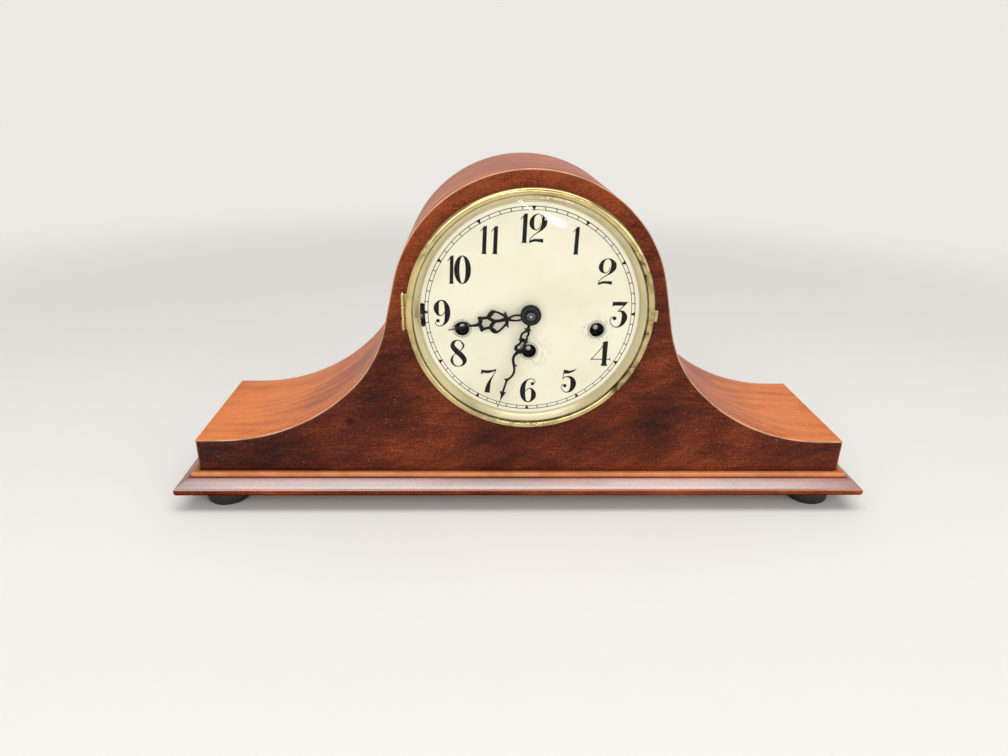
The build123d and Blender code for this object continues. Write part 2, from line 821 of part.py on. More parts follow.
def feet():
    """Four round feet with counterbored screw holes."""
    bottom = -moulding_height - base_drop - foot_height
    shapes = []
    for x, y in foot_places():
        foot = upright(foot_radius, x, y, bottom, bottom + foot_height)
        foot = fillet(foot.faces().sort_by(Axis.Z)[0].edges(), foot_round)
        foot -= upright(screw_radius, x, y, bottom - overrun, bottom + foot_height + overrun)
        foot -= upright(screw_head_radius, x, y, bottom - overrun, bottom + 2 * screw_head_height)
        shapes.append(foot)
    return group(shapes)


def standing_screw(x, y, bottom, length):
    """Wood screw that points up, with its head at the bottom."""
    head = upright(screw_head_radius, x, y, bottom, bottom + screw_head_height)
    return head + upright(screw_radius, x, y, bottom, bottom + length)


def wood_screws():
    """Screws of the feet, of the rod block and of the movement straps."""
    bottom = -moulding_height - base_drop
    foot_bottom = bottom - foot_height + screw_head_height
    screws = [standing_screw(x, y, foot_bottom, foot_screw_length) for x, y in foot_places()]
    screws += [standing_screw(x, y, bottom, block_screw_length) for x, y in block_screw_places()]
    for side, up in strap_places():
        at = (side * (strap_outer_x - strap_hole_inset), hump_centre_height + up)
        shank = disc(screw_radius, plate_front - strap_screw_length, plate_front, at)
        screws.append(shank + disc(screw_head_radius, plate_front, plate_front + screw_head_height, at))
    return group(screws)


def rod_block():
    """Cast block on the base board that holds the chime rods."""
    low = (-block_x, hammer_depths[0] - block_margin + stud_end_gap, 0)
    high = (-block_x + block_length, hammer_depths[-1] + block_margin - stud_end_gap, block_height)
    body = fillet(block(low, high).edges().filter_by(Axis.Y).sort_by(Axis.Z)[-2:], nose_round)
    for x, y in block_screw_places():
        body -= upright(screw_radius, x, y, -overrun, block_screw_length - moulding_height - base_drop)
    for y in hammer_depths:
        body -= rod_solid(y, rod_seat_depth, rod_radius)
    return body


def rod_solid(y, length, radius, start=block_length - block_x):
    """Round solid along X that starts inside the mouth of the rod block."""
    rod = Rot(0, 90, 0) * Cylinder(radius, length, align=(Align.CENTER, Align.CENTER, Align.MIN))
    return Pos(start - rod_seat_depth, y, rod_height) * rod


def chime_rods():
    """Steel rods of different lengths, each with a thin neck beside the block."""
    mouth = block_length - block_x
    rods = []
    for y, length in zip(hammer_depths, rod_lengths):
        rod = rod_solid(y, rod_seat_depth, rod_radius)
        rod += rod_solid(y, rod_neck_length, rod_neck_radius, mouth + rod_seat_depth)
        rod += rod_solid(y, length - rod_neck_length, rod_radius, mouth + rod_seat_depth + rod_neck_length)
        rods.append(rod)
    return group(rods)


def lever_slot():
    """Face of the slot of the chime lever, on an arc with round ends."""
    half = slot_width / 2
    start = 180 - math.degrees(math.asin((slot_top - half) / slot_radius))
    end = 180 + math.degrees(math.asin((slot_bottom - half) / slot_radius))
    inner = slot_radius - half
    outer = slot_radius + half
    band = make_face([
        CenterArc((0, 0), outer, start, end - start),
        Line(polar(outer, end), polar(inner, end)),
        CenterArc((0, 0), inner, start, end - start),
        Line(polar(inner, start), polar(outer, start))])
    ends = [Pos(*polar(slot_radius, angle)) * Circle(half) for angle in (start, end)]
    return band + ends[0] + ends[1]


def dial_pan():
    """Spun ring behind the dial, with a polished cone around it."""
    rim = -pan_rim_depth
    edges = Polyline(
        (panel_hole_radius, 0), (pan_cone_radius + pan_rim_width, 0), (pan_radius, rim + pan_thickness),
        (pan_radius, rim), (pan_radius - pan_rim_width, rim), (pan_cone_radius, -pan_thickness),
        (panel_hole_radius, -pan_thickness), close=True)
    return turned(edges) - slab(lever_slot(), -pan_thickness - overrun, overrun)


def dial_plate():
    """Dial with its winding holes, chime slot and four feet."""
    back = -pan_thickness
    front = back - dial_thickness
    plate = disc(dial_radius, front, back)
    plate -= disc(dial_centre_hole_radius, front - overrun, back + overrun)
    for at in winding_arbors.values():
        plate -= disc(winding_hole_radius, front - overrun, back + overrun, at)
    plate -= slab(lever_slot(), front - overrun, back + overrun)
    for side in (-1, 1):
        for up in (dial_foot_up, -dial_foot_down):
            at = (side * dial_foot_side, up)
            plate += disc(dial_foot_radius, back, plate_front, at)
            plate += disc(dial_spigot_radius, plate_front, plate_front + dial_spigot_length, at)
    return plate


def winding_grommets():
    """Bright bushes in the three winding holes of the dial."""
    front = -pan_thickness - dial_thickness
    shapes = []
    for at in winding_arbors.values():
        lip = disc(grommet_radius, front - grommet_lip, front, at)
        lip = fillet(lip.faces().sort_by(Axis.Y)[0].edges(), grommet_lip / 2)
        sleeve = disc(winding_hole_radius, front, -pan_thickness + grommet_depth, at)
        shapes.append(lip + sleeve - disc(grommet_bore_radius, front - overrun, overrun, at))
    return group(shapes)


def bezel_hinge_leaf():
    """Fixed leaf let into the front panel, with the middle knuckle of the bezel hinge."""
    leaf = bezel_leaf_block(bezel_leaf_height, bezel_leaf_thickness)
    half = bezel_middle_knuckle / 2
    web = block((-bezel_axis_x - bezel_knuckle_radius, -bezel_axis_depth, -half), (-bezel_axis_x, 0, half))
    knuckle = upright(bezel_knuckle_radius, -bezel_axis_x, -bezel_axis_depth, -half, half)
    pin = upright(bezel_pin_radius, -bezel_axis_x, -bezel_axis_depth, -half - overrun, half + overrun)
    return leaf + web + knuckle - pin


def quarter_round(start, corner, end):
    """Rounded edge between two points, bulging towards the corner between them."""
    middle = tuple(c + (a + b - 2 * c) * round_share for a, c, b in zip(start, corner, end))
    return ThreePointArc(start, middle, end)


def bezel_section():
    """Section of the bezel ring, as (radius, depth)."""
    front = -bezel_depth
    seat = -glass_seat_depth
    crown = bezel_outer_radius - bezel_crown_inset
    inner_crown = bezel_inner_radius + bezel_lip_width
    return [
        Line((glass_seat_radius, -join_gap), (bezel_outer_radius - bezel_corner, -join_gap)),
        Line((bezel_outer_radius - bezel_corner, -join_gap), (bezel_outer_radius, -join_gap - bezel_corner)),
        Line((bezel_outer_radius, -join_gap - bezel_corner), (bezel_outer_radius, -bezel_shoulder_depth)),
        quarter_round((bezel_outer_radius, -bezel_shoulder_depth), (bezel_outer_radius, front),
                      (crown, front)),
        Line((crown, front), (inner_crown, front)),
        quarter_round((inner_crown, front), (bezel_inner_radius, front), (bezel_inner_radius, seat)),
        Line((bezel_inner_radius, seat), (glass_seat_radius, seat)),
        Line((glass_seat_radius, seat), (glass_seat_radius, -join_gap))]


def bezel_ring():
    """Rounded brass ring with a thumb tab and two hinge knuckles."""
    ring = turned(bezel_section())
    tab = block((glass_seat_radius + bezel_corner, -tab_front, -tab_height / 2),
                (bezel_outer_radius + tab_reach, -tab_back, tab_height / 2))
    ring += tab
    half = bezel_hinge_height / 2
    inner = bezel_middle_knuckle / 2 + knuckle_gap
    for low, high in ((-half, -inner), (inner, half)):
        ring += upright(bezel_knuckle_radius, -bezel_axis_x, -bezel_axis_depth, low, high)
        ring += block((-bezel_axis_x, -bezel_axis_depth, low),
                      (-glass_seat_radius - bezel_corner, -bezel_axis_depth + bezel_web_depth, high))
    bore = bezel_pin_radius + running_gap
    return ring - upright(bore, -bezel_axis_x, -bezel_axis_depth, -half - overrun, half + overrun)


def bezel_glass():
    """Convex round glass."""
    rim = glass_seat_radius - glass_edge_gap
    radius = bezel_inner_radius - glass_edge_gap
    sag = glass_crown - glass_seat_depth
    sphere = (radius ** 2 + sag ** 2) / (2 * sag)
    middle = radius / 2
    drop = sphere - math.sqrt(sphere ** 2 - middle ** 2)
    front, back = -glass_seat_depth, -glass_seat_depth + glass_thickness
    inner = -glass_crown + glass_thickness
    return turned([
        ThreePointArc((0, -glass_crown), (middle, -glass_crown + drop), (radius, front)),
        Line((radius, front), (rim, front)),
        Line((rim, front), (rim, back)),
        Line((rim, back), (radius, back)),
        ThreePointArc((0, inner), (middle, inner + drop), (radius, back)),
        Line((0, inner), (0, -glass_crown))])


def glass_retainer():
    """Thin ring that holds the glass in the bezel."""
    front = -glass_seat_depth + glass_thickness + glass_edge_gap
    outer = glass_seat_radius - running_gap
    return tube(outer, outer - retainer_width, front, front + retainer_height)


def stroke(points, length):
    """Face of a pen stroke through (along, across, width) shares of a length."""
    centres = [(a * length, c * length) for a, c, _ in points]
    widths = [w * hand_stroke_weight * length / 2 for _, _, w in points]
    left, right = [], []
    for i, (x, y) in enumerate(centres):
        before = centres[max(i - 1, 0)]
        after = centres[min(i + 1, len(centres) - 1)]
        reach = math.dist(before, after)
        normal = ((before[1] - after[1]) / reach, (after[0] - before[0]) / reach)
        left.append((x + normal[0] * widths[i], y + normal[1] * widths[i]))
        right.append((x - normal[0] * widths[i], y - normal[1] * widths[i]))
    return make_face([Spline(*left), Line(left[-1], right[-1]), Spline(*right), Line(left[0], right[0])])


def hand_plate(strokes, length, hub, depth):
    """Flat hand made of strokes round a hub, pointing along X."""
    solid = disc(hub, -depth - hand_thickness / 2, -depth + hand_thickness / 2)
    for points in strokes:
        solid += slab(stroke(points, length), -depth - hand_thickness / 2, -depth + hand_thickness / 2)
    return solid


def minute_hand():
    """Pierced minute hand with its stepped collet."""
    hand = hand_plate(minute_stroke_shares, minute_hand_length, cannon_radius * 2, minute_hand_depth)
    front = -minute_hand_depth - hand_thickness / 2
    hand += disc(collet_radius, front - collet_rim_height, front)
    hand += disc(collet_step_radius, front - collet_rim_height - collet_step_height, front)
    hand -= disc(centre_arbor_radius, -glass_crown, overrun)
    return Rot(0, -minute_hand_angle, 0) * hand


def collet_front():
    """Depth of the front of the collet of the minute hand."""
    return -minute_hand_depth - hand_thickness / 2 - collet_rim_height - collet_step_height


def hour_hand():
    """Pierced hour hand on the pipe of the hour wheel."""
    hand = hand_plate(hour_stroke_shares, hour_hand_length, hand_hub_radius, hour_hand_depth)
    hand -= disc(hour_pipe_radius, -glass_crown, overrun)
    return Rot(0, -hour_hand_angle, 0) * hand


def hand_nut():
    """Domed nut on the end of the centre arbor."""
    back = collet_front()
    nut = disc(nut_dome_radius, back - nut_dome_height, back)
    nut = fillet(nut.faces().sort_by(Axis.Y)[0].edges(), nut_dome_height * dome_share)
    return nut - disc(centre_arbor_radius, back - nut_dome_height / 2, overrun)


def centre_wheel():
    """Centre arbor with its wheel and pinion, running forward to the hand nut."""
    arbor = disc(centre_arbor_radius, collet_front() - nut_dome_height / 2, rear_inner - shoulder_gap)
    arbor += disc(pivot_radius, plate_front, rear_face)
    arbor += pinion(centre_pinion_teeth, centre_module, second_level - pinion_side,
                    centre_level - join_gap, heading(centre_arbor, second_arbor))
    facing = heading(centre_arbor, third_arbor)
    return arbor + wheel(centre_teeth, third_module, centre_level, level_thickness, facing)


def cannon_back():
    """Depth of the back of the cannon pinion."""
    return plate_front - cannon_back_gap


def minute_level():
    """Front of the minute wheel."""
    return cannon_back() - minute_wheel_thickness - pinion_side


def hour_level():
    """Front of the hour wheel."""
    return minute_level() - hour_wheel_gap - hour_wheel_thickness


def cannon_pinion():
    """Pinion and pipe that grip the centre arbor and carry the minute hand."""
    back = cannon_back()
    leaves = pinion(cannon_teeth, motion_module, minute_level() - pinion_side, back,
                    heading(centre_arbor, minute_stud))
    pipe = disc(cannon_radius, -minute_hand_depth + hand_thickness / 2, back)
    return leaves + pipe - disc(centre_arbor_radius, -glass_crown, plate_front)


def minute_wheel():
    """Wheel and pinion on a stud, between the cannon pinion and the hour wheel."""
    gear = wheel(minute_wheel_teeth, motion_module, minute_level(), minute_wheel_thickness,
                 heading(minute_stud, centre_arbor))
    gear += pinion(hour_pinion_teeth, hour_module, hour_level() - pinion_side, minute_level(),
                   heading(minute_stud, centre_arbor))
    gear -= disc(motion_stud_radius + running_gap, -overrun, plate_front + overrun)
    return moved(minute_stud, gear)


def hour_wheel():
    """Wheel on a pipe that turns around the cannon pinion."""
    facing = heading(centre_arbor, minute_stud)
    gear = wheel(hour_teeth, hour_module, hour_level(), hour_wheel_thickness, facing)
    gear += disc(hour_pipe_radius, -hour_hand_depth - hand_thickness / 2, hour_level() + hour_wheel_thickness)
    return gear - disc(cannon_radius + running_gap, -glass_crown, plate_front)


def plate_face():
    """Outline of a movement plate."""
    return Pos(0, (plate_top - plate_bottom) / 2) * RectangleRounded(
        2 * plate_half_width, plate_top + plate_bottom, pillar_radius)


def pillar_places():
    """Places of the four pillars."""
    return [(side * pillar_side, up) for side in (-1, 1) for up in (pillar_up, -pillar_down)]


def train_arbors():
    """Places of the small arbors that run in both plates."""
    return [second_arbor, third_arbor, escape_arbor, strike_wheel_arbor]


def front_plate():
    """Front movement plate with the studs of the motion work, the clicks and the chime lever."""
    plate = slab(plate_face(), plate_front, plate_inner)
    low, high = plate_front - overrun, plate_inner + overrun
    for at in pillar_places():
        plate -= disc(pillar_spigot_radius, low, high, at)
    for at in train_arbors() + [anchor_arbor, chime_wheel_arbor]:
        plate -= disc(pivot_radius + running_gap, low, high, at)
    for at in winding_arbors.values():
        plate -= disc(winding_arbor_radius + running_gap, low, high, at)
    plate -= disc(centre_arbor_radius + running_gap, low, high)
    for side in (-1, 1):
        for up in (dial_foot_up, -dial_foot_down):
            plate -= disc(dial_spigot_radius, low, high, (side * dial_foot_side, up))
        for up in (strap_up, -strap_down):
            plate -= disc(bolt_radius, low, high, (side * bolt_x(), up))
    plate += disc(motion_stud_radius, hour_level() - pinion_side, plate_front, minute_stud)
    plate += disc(stud_radius, lever_depth - join_gap, plate_front, lever_pivot)
    for at in winding_arbors.values():
        plate += disc(click_stud_radius, ratchet_front() - join_gap, plate_front, click_pivot(at))
    return plate


def back_plate():
    """Rear movement plate with the stud of the chime drum."""
    plate = slab(plate_face(), rear_inner, rear_face)
    low, high = rear_inner - overrun, rear_face + overrun
    for at in pillar_places():
        plate -= disc(pillar_spigot_radius, low, high, at)
    for at in train_arbors() + [centre_arbor]:
        plate -= disc(pivot_radius + running_gap, low, high, at)
    for at in winding_arbors.values():
        plate -= disc(winding_pivot_radius + running_gap, low, high, at)
    plate -= disc(arbor_radius + running_gap, low, high, chime_wheel_arbor)
    plate -= disc(escape_arbor_radius + running_gap, low, high, anchor_arbor)
    plate -= disc(stud_radius, low, high, hammer_pivot)
    return plate + disc(stud_radius, rear_face, stud_end, drum_stud)


def plate_pillars():
    """Turned pillars that hold the plates apart, with a spigot at each end."""
    shapes = []
    for at in pillar_places():
        body = disc(pillar_radius, plate_inner, rear_inner, at)
        shapes.append(body + disc(pillar_spigot_radius, plate_front, rear_face + nut_height / 2, at))
    return group(shapes)


def bolt_x():
    """Distance of the strap bolts from the middle."""
    return strap_outer_x - strap_length + strap_hole_inset


def plate_fasteners():
    """Nuts of the pillars and bolts of the straps."""
    shapes = []
    for at in pillar_places():
        nut = slab(Pos(*at) * RegularPolygon(nut_radius, nut_sides), rear_face, rear_face + nut_height)
        shapes.append(nut - disc(pillar_spigot_radius, rear_face - overrun, rear_face + nut_height / 2, at))
    for side, up in strap_places():
        at = (side * bolt_x(), up)
        bolt = disc(bolt_radius, front_thickness, plate_inner, at)
        shapes.append(bolt + disc(bolt_head_radius, plate_inner, plate_inner + bolt_head_height, at))
    return group(shapes)


def mounting_straps():
    """Flat straps between the front panel and the front plate."""
    shapes = []
    for side, up in strap_places():
        right = block((strap_outer_x - strap_length, front_thickness, up - strap_height / 2),
                      (strap_outer_x, plate_front, up + strap_height / 2))
        for x, radius in ((strap_outer_x - strap_hole_inset, screw_radius), (bolt_x(), bolt_radius)):
            right -= disc(radius, front_thickness - overrun, plate_front + overrun, (x, up))
        shapes.append(right if side > 0 else mirror(right, about=Plane.YZ))
    return group(shapes)


def barrel(at, target):
    """Great wheel and drum with the wound mainspring inside, meshing towards a target arbor."""
    shell = wheel_disc(heading(at, target))
    shell += disc(drum_radius, drum_front, drum_back)
    shell -= disc(drum_radius - drum_wall, drum_front, drum_back - drum_wall)
    shell -= disc(winding_arbor_radius + running_gap, great_front - overrun, drum_back + overrun)
    spring = tube(drum_radius - drum_wall - mainspring_gap, mainspring_inner_radius,
                  drum_front + mainspring_gap, drum_back - drum_wall - mainspring_gap)
    return moved(at, group([shell, spring]))


def wheel_disc(facing):
    """Great wheel without spokes."""
    face = toothed_face(great_teeth, barrel_module, facing, wheel_tooth_shares)
    return slab(face, great_front, drum_front)


def ratchet_front():
    """Front of the ratchet wheels."""
    return plate_front - ratchet_plate_gap - ratchet_thickness


def winding_arbor(at):
    """Arbor with a square end for the key and a ratchet wheel in front of the plate."""
    back = ratchet_front() + ratchet_thickness
    square = slab(Rectangle(winding_square, winding_square), winding_tip_depth, winding_square_depth)
    arbor = square + disc(winding_arbor_radius, winding_square_depth, rear_inner - shoulder_gap)
    arbor += disc(winding_pivot_radius, rear_inner - shoulder_gap - overrun, rear_face)
    arbor += slab(saw_face(ratchet_teeth, ratchet_radius, ratchet_tooth_height), ratchet_front(), back)
    return moved(at, arbor)


def click_pivot(at):
    """Place of the click stud below a winding arbor."""
    return (at[0], at[1] - click_drop)


def click(at):
    """Click that drops into the ratchet wheel of a winding arbor."""
    tip = polar(ratchet_radius + click_tip_gap, -90 - click_tip_angle)
    root = (0, -click_drop)
    direction = heading(root, tip)
    reach = math.dist(root, tip)
    arm = outline([
        polar(click_width / 2, direction - 90, root), polar(click_width / 2, direction + 90, root),
        polar(click_width * click_point_share, direction + 90, polar(reach, direction, root)), tip])
    back = ratchet_front() + ratchet_thickness
    body = slab(arm, ratchet_front(), back) + disc(click_hub_radius, ratchet_front(), back, root)
    body -= disc(click_stud_radius + running_gap, -overrun, plate_front, root)
    return moved(at, body)


def second_wheel():
    """Wheel and pinion between the time barrel and the centre arbor."""
    arbor = plain_arbor(arbor_radius)
    arbor += pinion(barrel_pinion_teeth, barrel_module, great_front - pinion_side, drum_front + pinion_side,
                    heading(second_arbor, time_arbor))
    facing = heading(second_arbor, centre_arbor)
    arbor += wheel(second_teeth, centre_module, second_level, level_thickness, facing)
    return moved(second_arbor, arbor)


def third_wheel():
    """Wheel and pinion between the centre wheel and the escape wheel."""
    arbor = plain_arbor(third_arbor_radius)
    arbor += pinion(third_pinion_teeth, third_module, centre_level - pinion_side,
                    centre_level + level_thickness + pinion_side, heading(third_arbor, centre_arbor))
    front = plate_inner + third_level
    arbor += wheel(third_teeth, escape_module, front, level_thickness, heading(third_arbor, escape_arbor))
    return moved(third_arbor, arbor)


def escape_wheel():
    """Escape wheel with its pinion."""
    front = plate_inner + third_level
    arbor = disc(escape_arbor_radius, plate_front, rear_face)
    arbor += pinion(escape_pinion_teeth, escape_module, front - pinion_side,
                    front + level_thickness + pinion_side, heading(escape_arbor, third_arbor))
    start = plate_inner + escape_level
    star = slab(saw_face(escape_teeth, escape_radius, escape_tooth_height), start, start + escape_thickness)
    rim = escape_radius * escape_rim_share
    for face in wheel_windows(rim, escape_radius * hub_share, escape_radius * spoke_share):
        star -= slab(face, start - overrun, start + escape_thickness + overrun)
    return moved(escape_arbor, arbor + star)


def pallet_anchor():
    """Anchor over the escape wheel, with the fork that drives the balance."""
    start = plate_inner + escape_level
    end = start + escape_thickness
    arbor = disc(escape_arbor_radius, plate_front, rear_face + 2 * fork_gap)
    anchor = disc(anchor_hub_radius, start, end)
    for side in (-1, 1):
        outer = side * (anchor_reach + anchor_width / 2)
        inner = side * (anchor_reach - anchor_width / 2)
        anchor += slab(outline([
            (0, anchor_width), (outer, anchor_width), (outer, -anchor_drop),
            (inner, anchor_width - anchor_drop), (inner, -anchor_width / 2), (0, -anchor_width)]), start, end)
    fork = block((-fork_length, rear_face + fork_gap, -fork_width / 2),
                 (fork_width, rear_face + 2 * fork_gap, fork_width / 2))
    return moved(anchor_arbor, arbor + anchor + fork)


def balance_y():
    """Depth of the axis of the balance."""
    return rear_face + balance_gap + balance_radius


def balance_wheel():
    """Balance that swings about an upright wire."""
    low = balance_height - balance_rim_height / 2
    high = low + balance_rim_height
    inner = balance_radius - balance_rim_width
    reach = balance_radius - balance_rim_width / 2
    rim = upright(balance_radius, 0, 0, low, high) - upright(inner, 0, 0, low, high)
    rim += upright(balance_hub_radius, 0, 0, low, high)
    rim += block((-reach, -balance_spoke_width / 2, low), (reach, balance_spoke_width / 2, high))
    bottom, top = balance_height - staff_length / 2, balance_height + staff_length / 2
    rim += upright(staff_radius, 0, 0, bottom, top)
    rim -= upright(staff_bore_radius, 0, 0, bottom - overrun, top + overrun)
    return Pos(-balance_x, balance_y(), 0) * rim


def balance_cock():
    """Bracket on the back plate that holds the wire of the balance."""
    low = balance_height - staff_length / 2 - join_gap
    high = balance_height + staff_length / 2 + join_gap
    left, right = -balance_x - cock_width / 2, -balance_x + cock_width / 2
    back = balance_y() + cock_width / 2
    bottom, top = low - cock_arm_height, high + cock_arm_height
    cock = block((left, rear_face, bottom), (right, rear_face + cock_plate_thickness, top))
    cock += block((left, rear_face, bottom), (right, back, low))
    cock += block((left, rear_face, high), (right, back, top))
    return cock + upright(wire_radius, -balance_x, balance_y(), low, high)


def striking_wheel(at, source, back_end):
    """Wheel and pinion driven by the strike or chime barrel."""
    arbor = disc(arbor_radius, plate_inner + shoulder_gap, back_end)
    arbor += disc(pivot_radius, plate_front, rear_face)
    arbor += pinion(barrel_pinion_teeth, barrel_module, great_front - pinion_side, drum_front + pinion_side,
                    heading(at, source))
    return arbor + wheel(second_teeth, centre_module, centre_level, level_thickness)


def strike_wheel():
    """Second wheel of the strike train."""
    arbor = striking_wheel(strike_wheel_arbor, strike_arbor, rear_inner - shoulder_gap)
    return moved(strike_wheel_arbor, arbor)


def rear_gear_front():
    """Front of the two gears behind the back plate."""
    return rear_face + rear_gear_gap


def chime_wheel():
    """Second wheel of the chime train, with the gear behind the plate that turns the drum."""
    front = rear_gear_front()
    arbor = striking_wheel(chime_wheel_arbor, chime_arbor, front + rear_gear_thickness)
    facing = heading(chime_wheel_arbor, drum_stud)
    arbor += wheel(drum_gear_teeth, barrel_module, front, rear_gear_thickness, facing)
    return moved(chime_wheel_arbor, arbor)


def chime_drum():
    """Cam drum that lifts the hammers, with its gear."""
    front = rear_gear_front()
    half_tooth = 180 / drum_gear_teeth
    facing = heading(drum_stud, chime_wheel_arbor) + half_tooth
    drum = wheel(drum_gear_teeth, barrel_module, front, rear_gear_thickness, facing)
    drum += disc(drum_core_radius, rear_face + join_gap, stud_end)
    for i, y in enumerate(hammer_depths):
        cam = disc(cam_radius, y - cam_thickness / 2, y + cam_thickness / 2)
        for j in range(cam_notch_count):
            notch = polar(cam_radius, 360 * (j + i / hammer_count) / cam_notch_count)
            cam -= disc(cam_notch_radius, y - cam_thickness, y + cam_thickness, notch)
        drum += cam
    drum -= disc(stud_radius + running_gap, rear_face - overrun, stud_end + overrun)
    return moved(drum_stud, drum)


def hammer_arbor():
    """Steel rod behind the back plate on which the hammers turn."""
    return disc(stud_radius, rear_inner, stud_end, hammer_pivot)


def hammer(y):
    """Chime hammer above one rod, with its lifting tail."""
    front, back = y - hammer_bush_length / 2, y + hammer_bush_length / 2
    body = disc(hammer_bush_radius, front, back)
    tip_z = rod_height + rod_radius + hammer_strike_gap - hump_centre_height
    head_x = -hammer_pivot[0]
    head_low = tip_z - hammer_pivot[1]
    neck = (head_x, head_low + hammer_head_length - hammer_head_radius)
    arm = Polyline((0, 0, 0), (neck[0], 0, neck[1]))
    section = Plane(origin=arm @ 0, z_dir=arm % 0) * Circle(hammer_arm_radius)
    body += Pos(0, y, 0) * extrude(section, amount=math.hypot(*neck), dir=tuple(arm % 0))
    body += upright(hammer_head_radius, head_x, y, head_low, head_low + hammer_head_length)
    half = hammer_tail_width / 2
    length = math.dist(hammer_pivot, drum_stud) - cam_radius - hammer_tail_gap
    tail = block((0, y - half, -half), (length, y + half, half))
    body += Rot(0, -heading(hammer_pivot, drum_stud), 0) * tail
    body -= disc(stud_radius + running_gap, front - overrun, back + overrun)
    return moved(hammer_pivot, body)


def chime_silent_lever():
    """Lever behind the dial whose tip stands through the slot at the left."""
    reach = slot_radius + lever_tip_width / 2 - lever_pivot_x
    low = lever_depth
    high = lever_depth + lever_thickness
    strip = block((-reach, low, -lever_width / 2), (0, high, lever_width / 2))
    strip += disc(lever_hub_radius, low, high)
    strip += block((-reach, -lever_tip_proud, -lever_tip_height / 2),
                   (-reach + lever_tip_width, high, lever_tip_height / 2))
    strip -= disc(stud_radius + running_gap, low - overrun, high + overrun)
    return moved(lever_pivot, strip)


def case_parts():
    """Pieces drawn from the front face and the top of the moulding."""
    return {
        "front_panel": front_panel(), "back_panel": back_panel(), "top_wrap": top_wrap(),
        "end_boards": end_boards(), "base_board": base_board(), "front_moulding": front_moulding(),
        "end_mouldings": end_mouldings(), "feet": feet(), "wood_screws": wood_screws(),
        "hinge_pins": hinge_pins(), "rear_door": rear_door(), "door_knob": door_knob(),
        "door_hinge_leaves": door_hinge_leaves(), "door_hinge_straps": door_hinge_straps(),
        "rod_block": rod_block(), "chime_rods": chime_rods()}


def dial_parts():
    """Dial, bezel, hands and motion work, drawn from the centre of the dial."""
    return {
        "dial_pan": dial_pan(), "dial_plate": dial_plate(), "winding_grommets": winding_grommets(),
        "bezel_hinge_leaf": bezel_hinge_leaf(), "bezel_ring": bezel_ring(),
        "bezel_glass": bezel_glass(), "glass_retainer": glass_retainer(),
        "minute_hand": minute_hand(), "hour_hand": hour_hand(),
        "hand_nut": hand_nut(), "centre_wheel": centre_wheel(), "cannon_pinion": cannon_pinion(),
        "minute_wheel": minute_wheel(), "hour_wheel": hour_wheel(),
        "chime_silent_lever": chime_silent_lever()}


def movement_parts():
    """Movement behind the front panel, drawn from the centre of the dial."""
    parts = {
        "front_plate": front_plate(), "back_plate": back_plate(), "plate_pillars": plate_pillars(),
        "plate_fasteners": plate_fasteners(), "mounting_straps": mounting_straps(),
        "time_barrel": barrel(time_arbor, second_arbor), "second_wheel": second_wheel(),
        "strike_barrel": barrel(strike_arbor, strike_wheel_arbor),
        "chime_barrel": barrel(chime_arbor, chime_wheel_arbor),
        "third_wheel": third_wheel(), "escape_wheel": escape_wheel(), "pallet_anchor": pallet_anchor(),
        "balance_wheel": balance_wheel(), "balance_cock": balance_cock(), "strike_wheel": strike_wheel(),
        "chime_wheel": chime_wheel(), "chime_drum": chime_drum(), "hammer_arbor": hammer_arbor()}
    for name, at in winding_arbors.items():
        parts[name + "_winding_arbor"] = winding_arbor(at)
        parts[name + "_click"] = click(at)
    for i, y in enumerate(hammer_depths):
        parts["hammer_" + str(i + 1)] = hammer(y)
    return parts


def main():
    """Builds every piece in the clock's own frame and writes it to parts."""
    os.makedirs("parts", exist_ok=True)
    case_place = Pos(0, face_y, ledge_z)
    dial_place = Pos(0, face_y, ledge_z + hump_centre_height)
    placed = {name: case_place * shape for name, shape in case_parts().items()}
    dial_shapes = {**dial_parts(), **movement_parts()}
    placed.update({name: dial_place * shape for name, shape in dial_shapes.items()})
    for name, shape in placed.items():
        export_step(shape, "parts/" + name + ".step")


main()
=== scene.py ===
"""Tambour mantel clock: the pieces, finishes and studio of its visual model.

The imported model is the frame. X runs right, Y back and Z up, in metres, and the table is at Z = 0.
Pieces are drawn in millimetres from the front face of the case and turned into metres at the end.
"""

import enum
import json
import logging
import math
from dataclasses import dataclass, field
from typing import Any, Callable, ClassVar, Iterable, Optional, Sequence, Union

import bmesh
import bpy
from mathutils import Matrix, Vector
from mathutils.geometry import tessellate_polygon

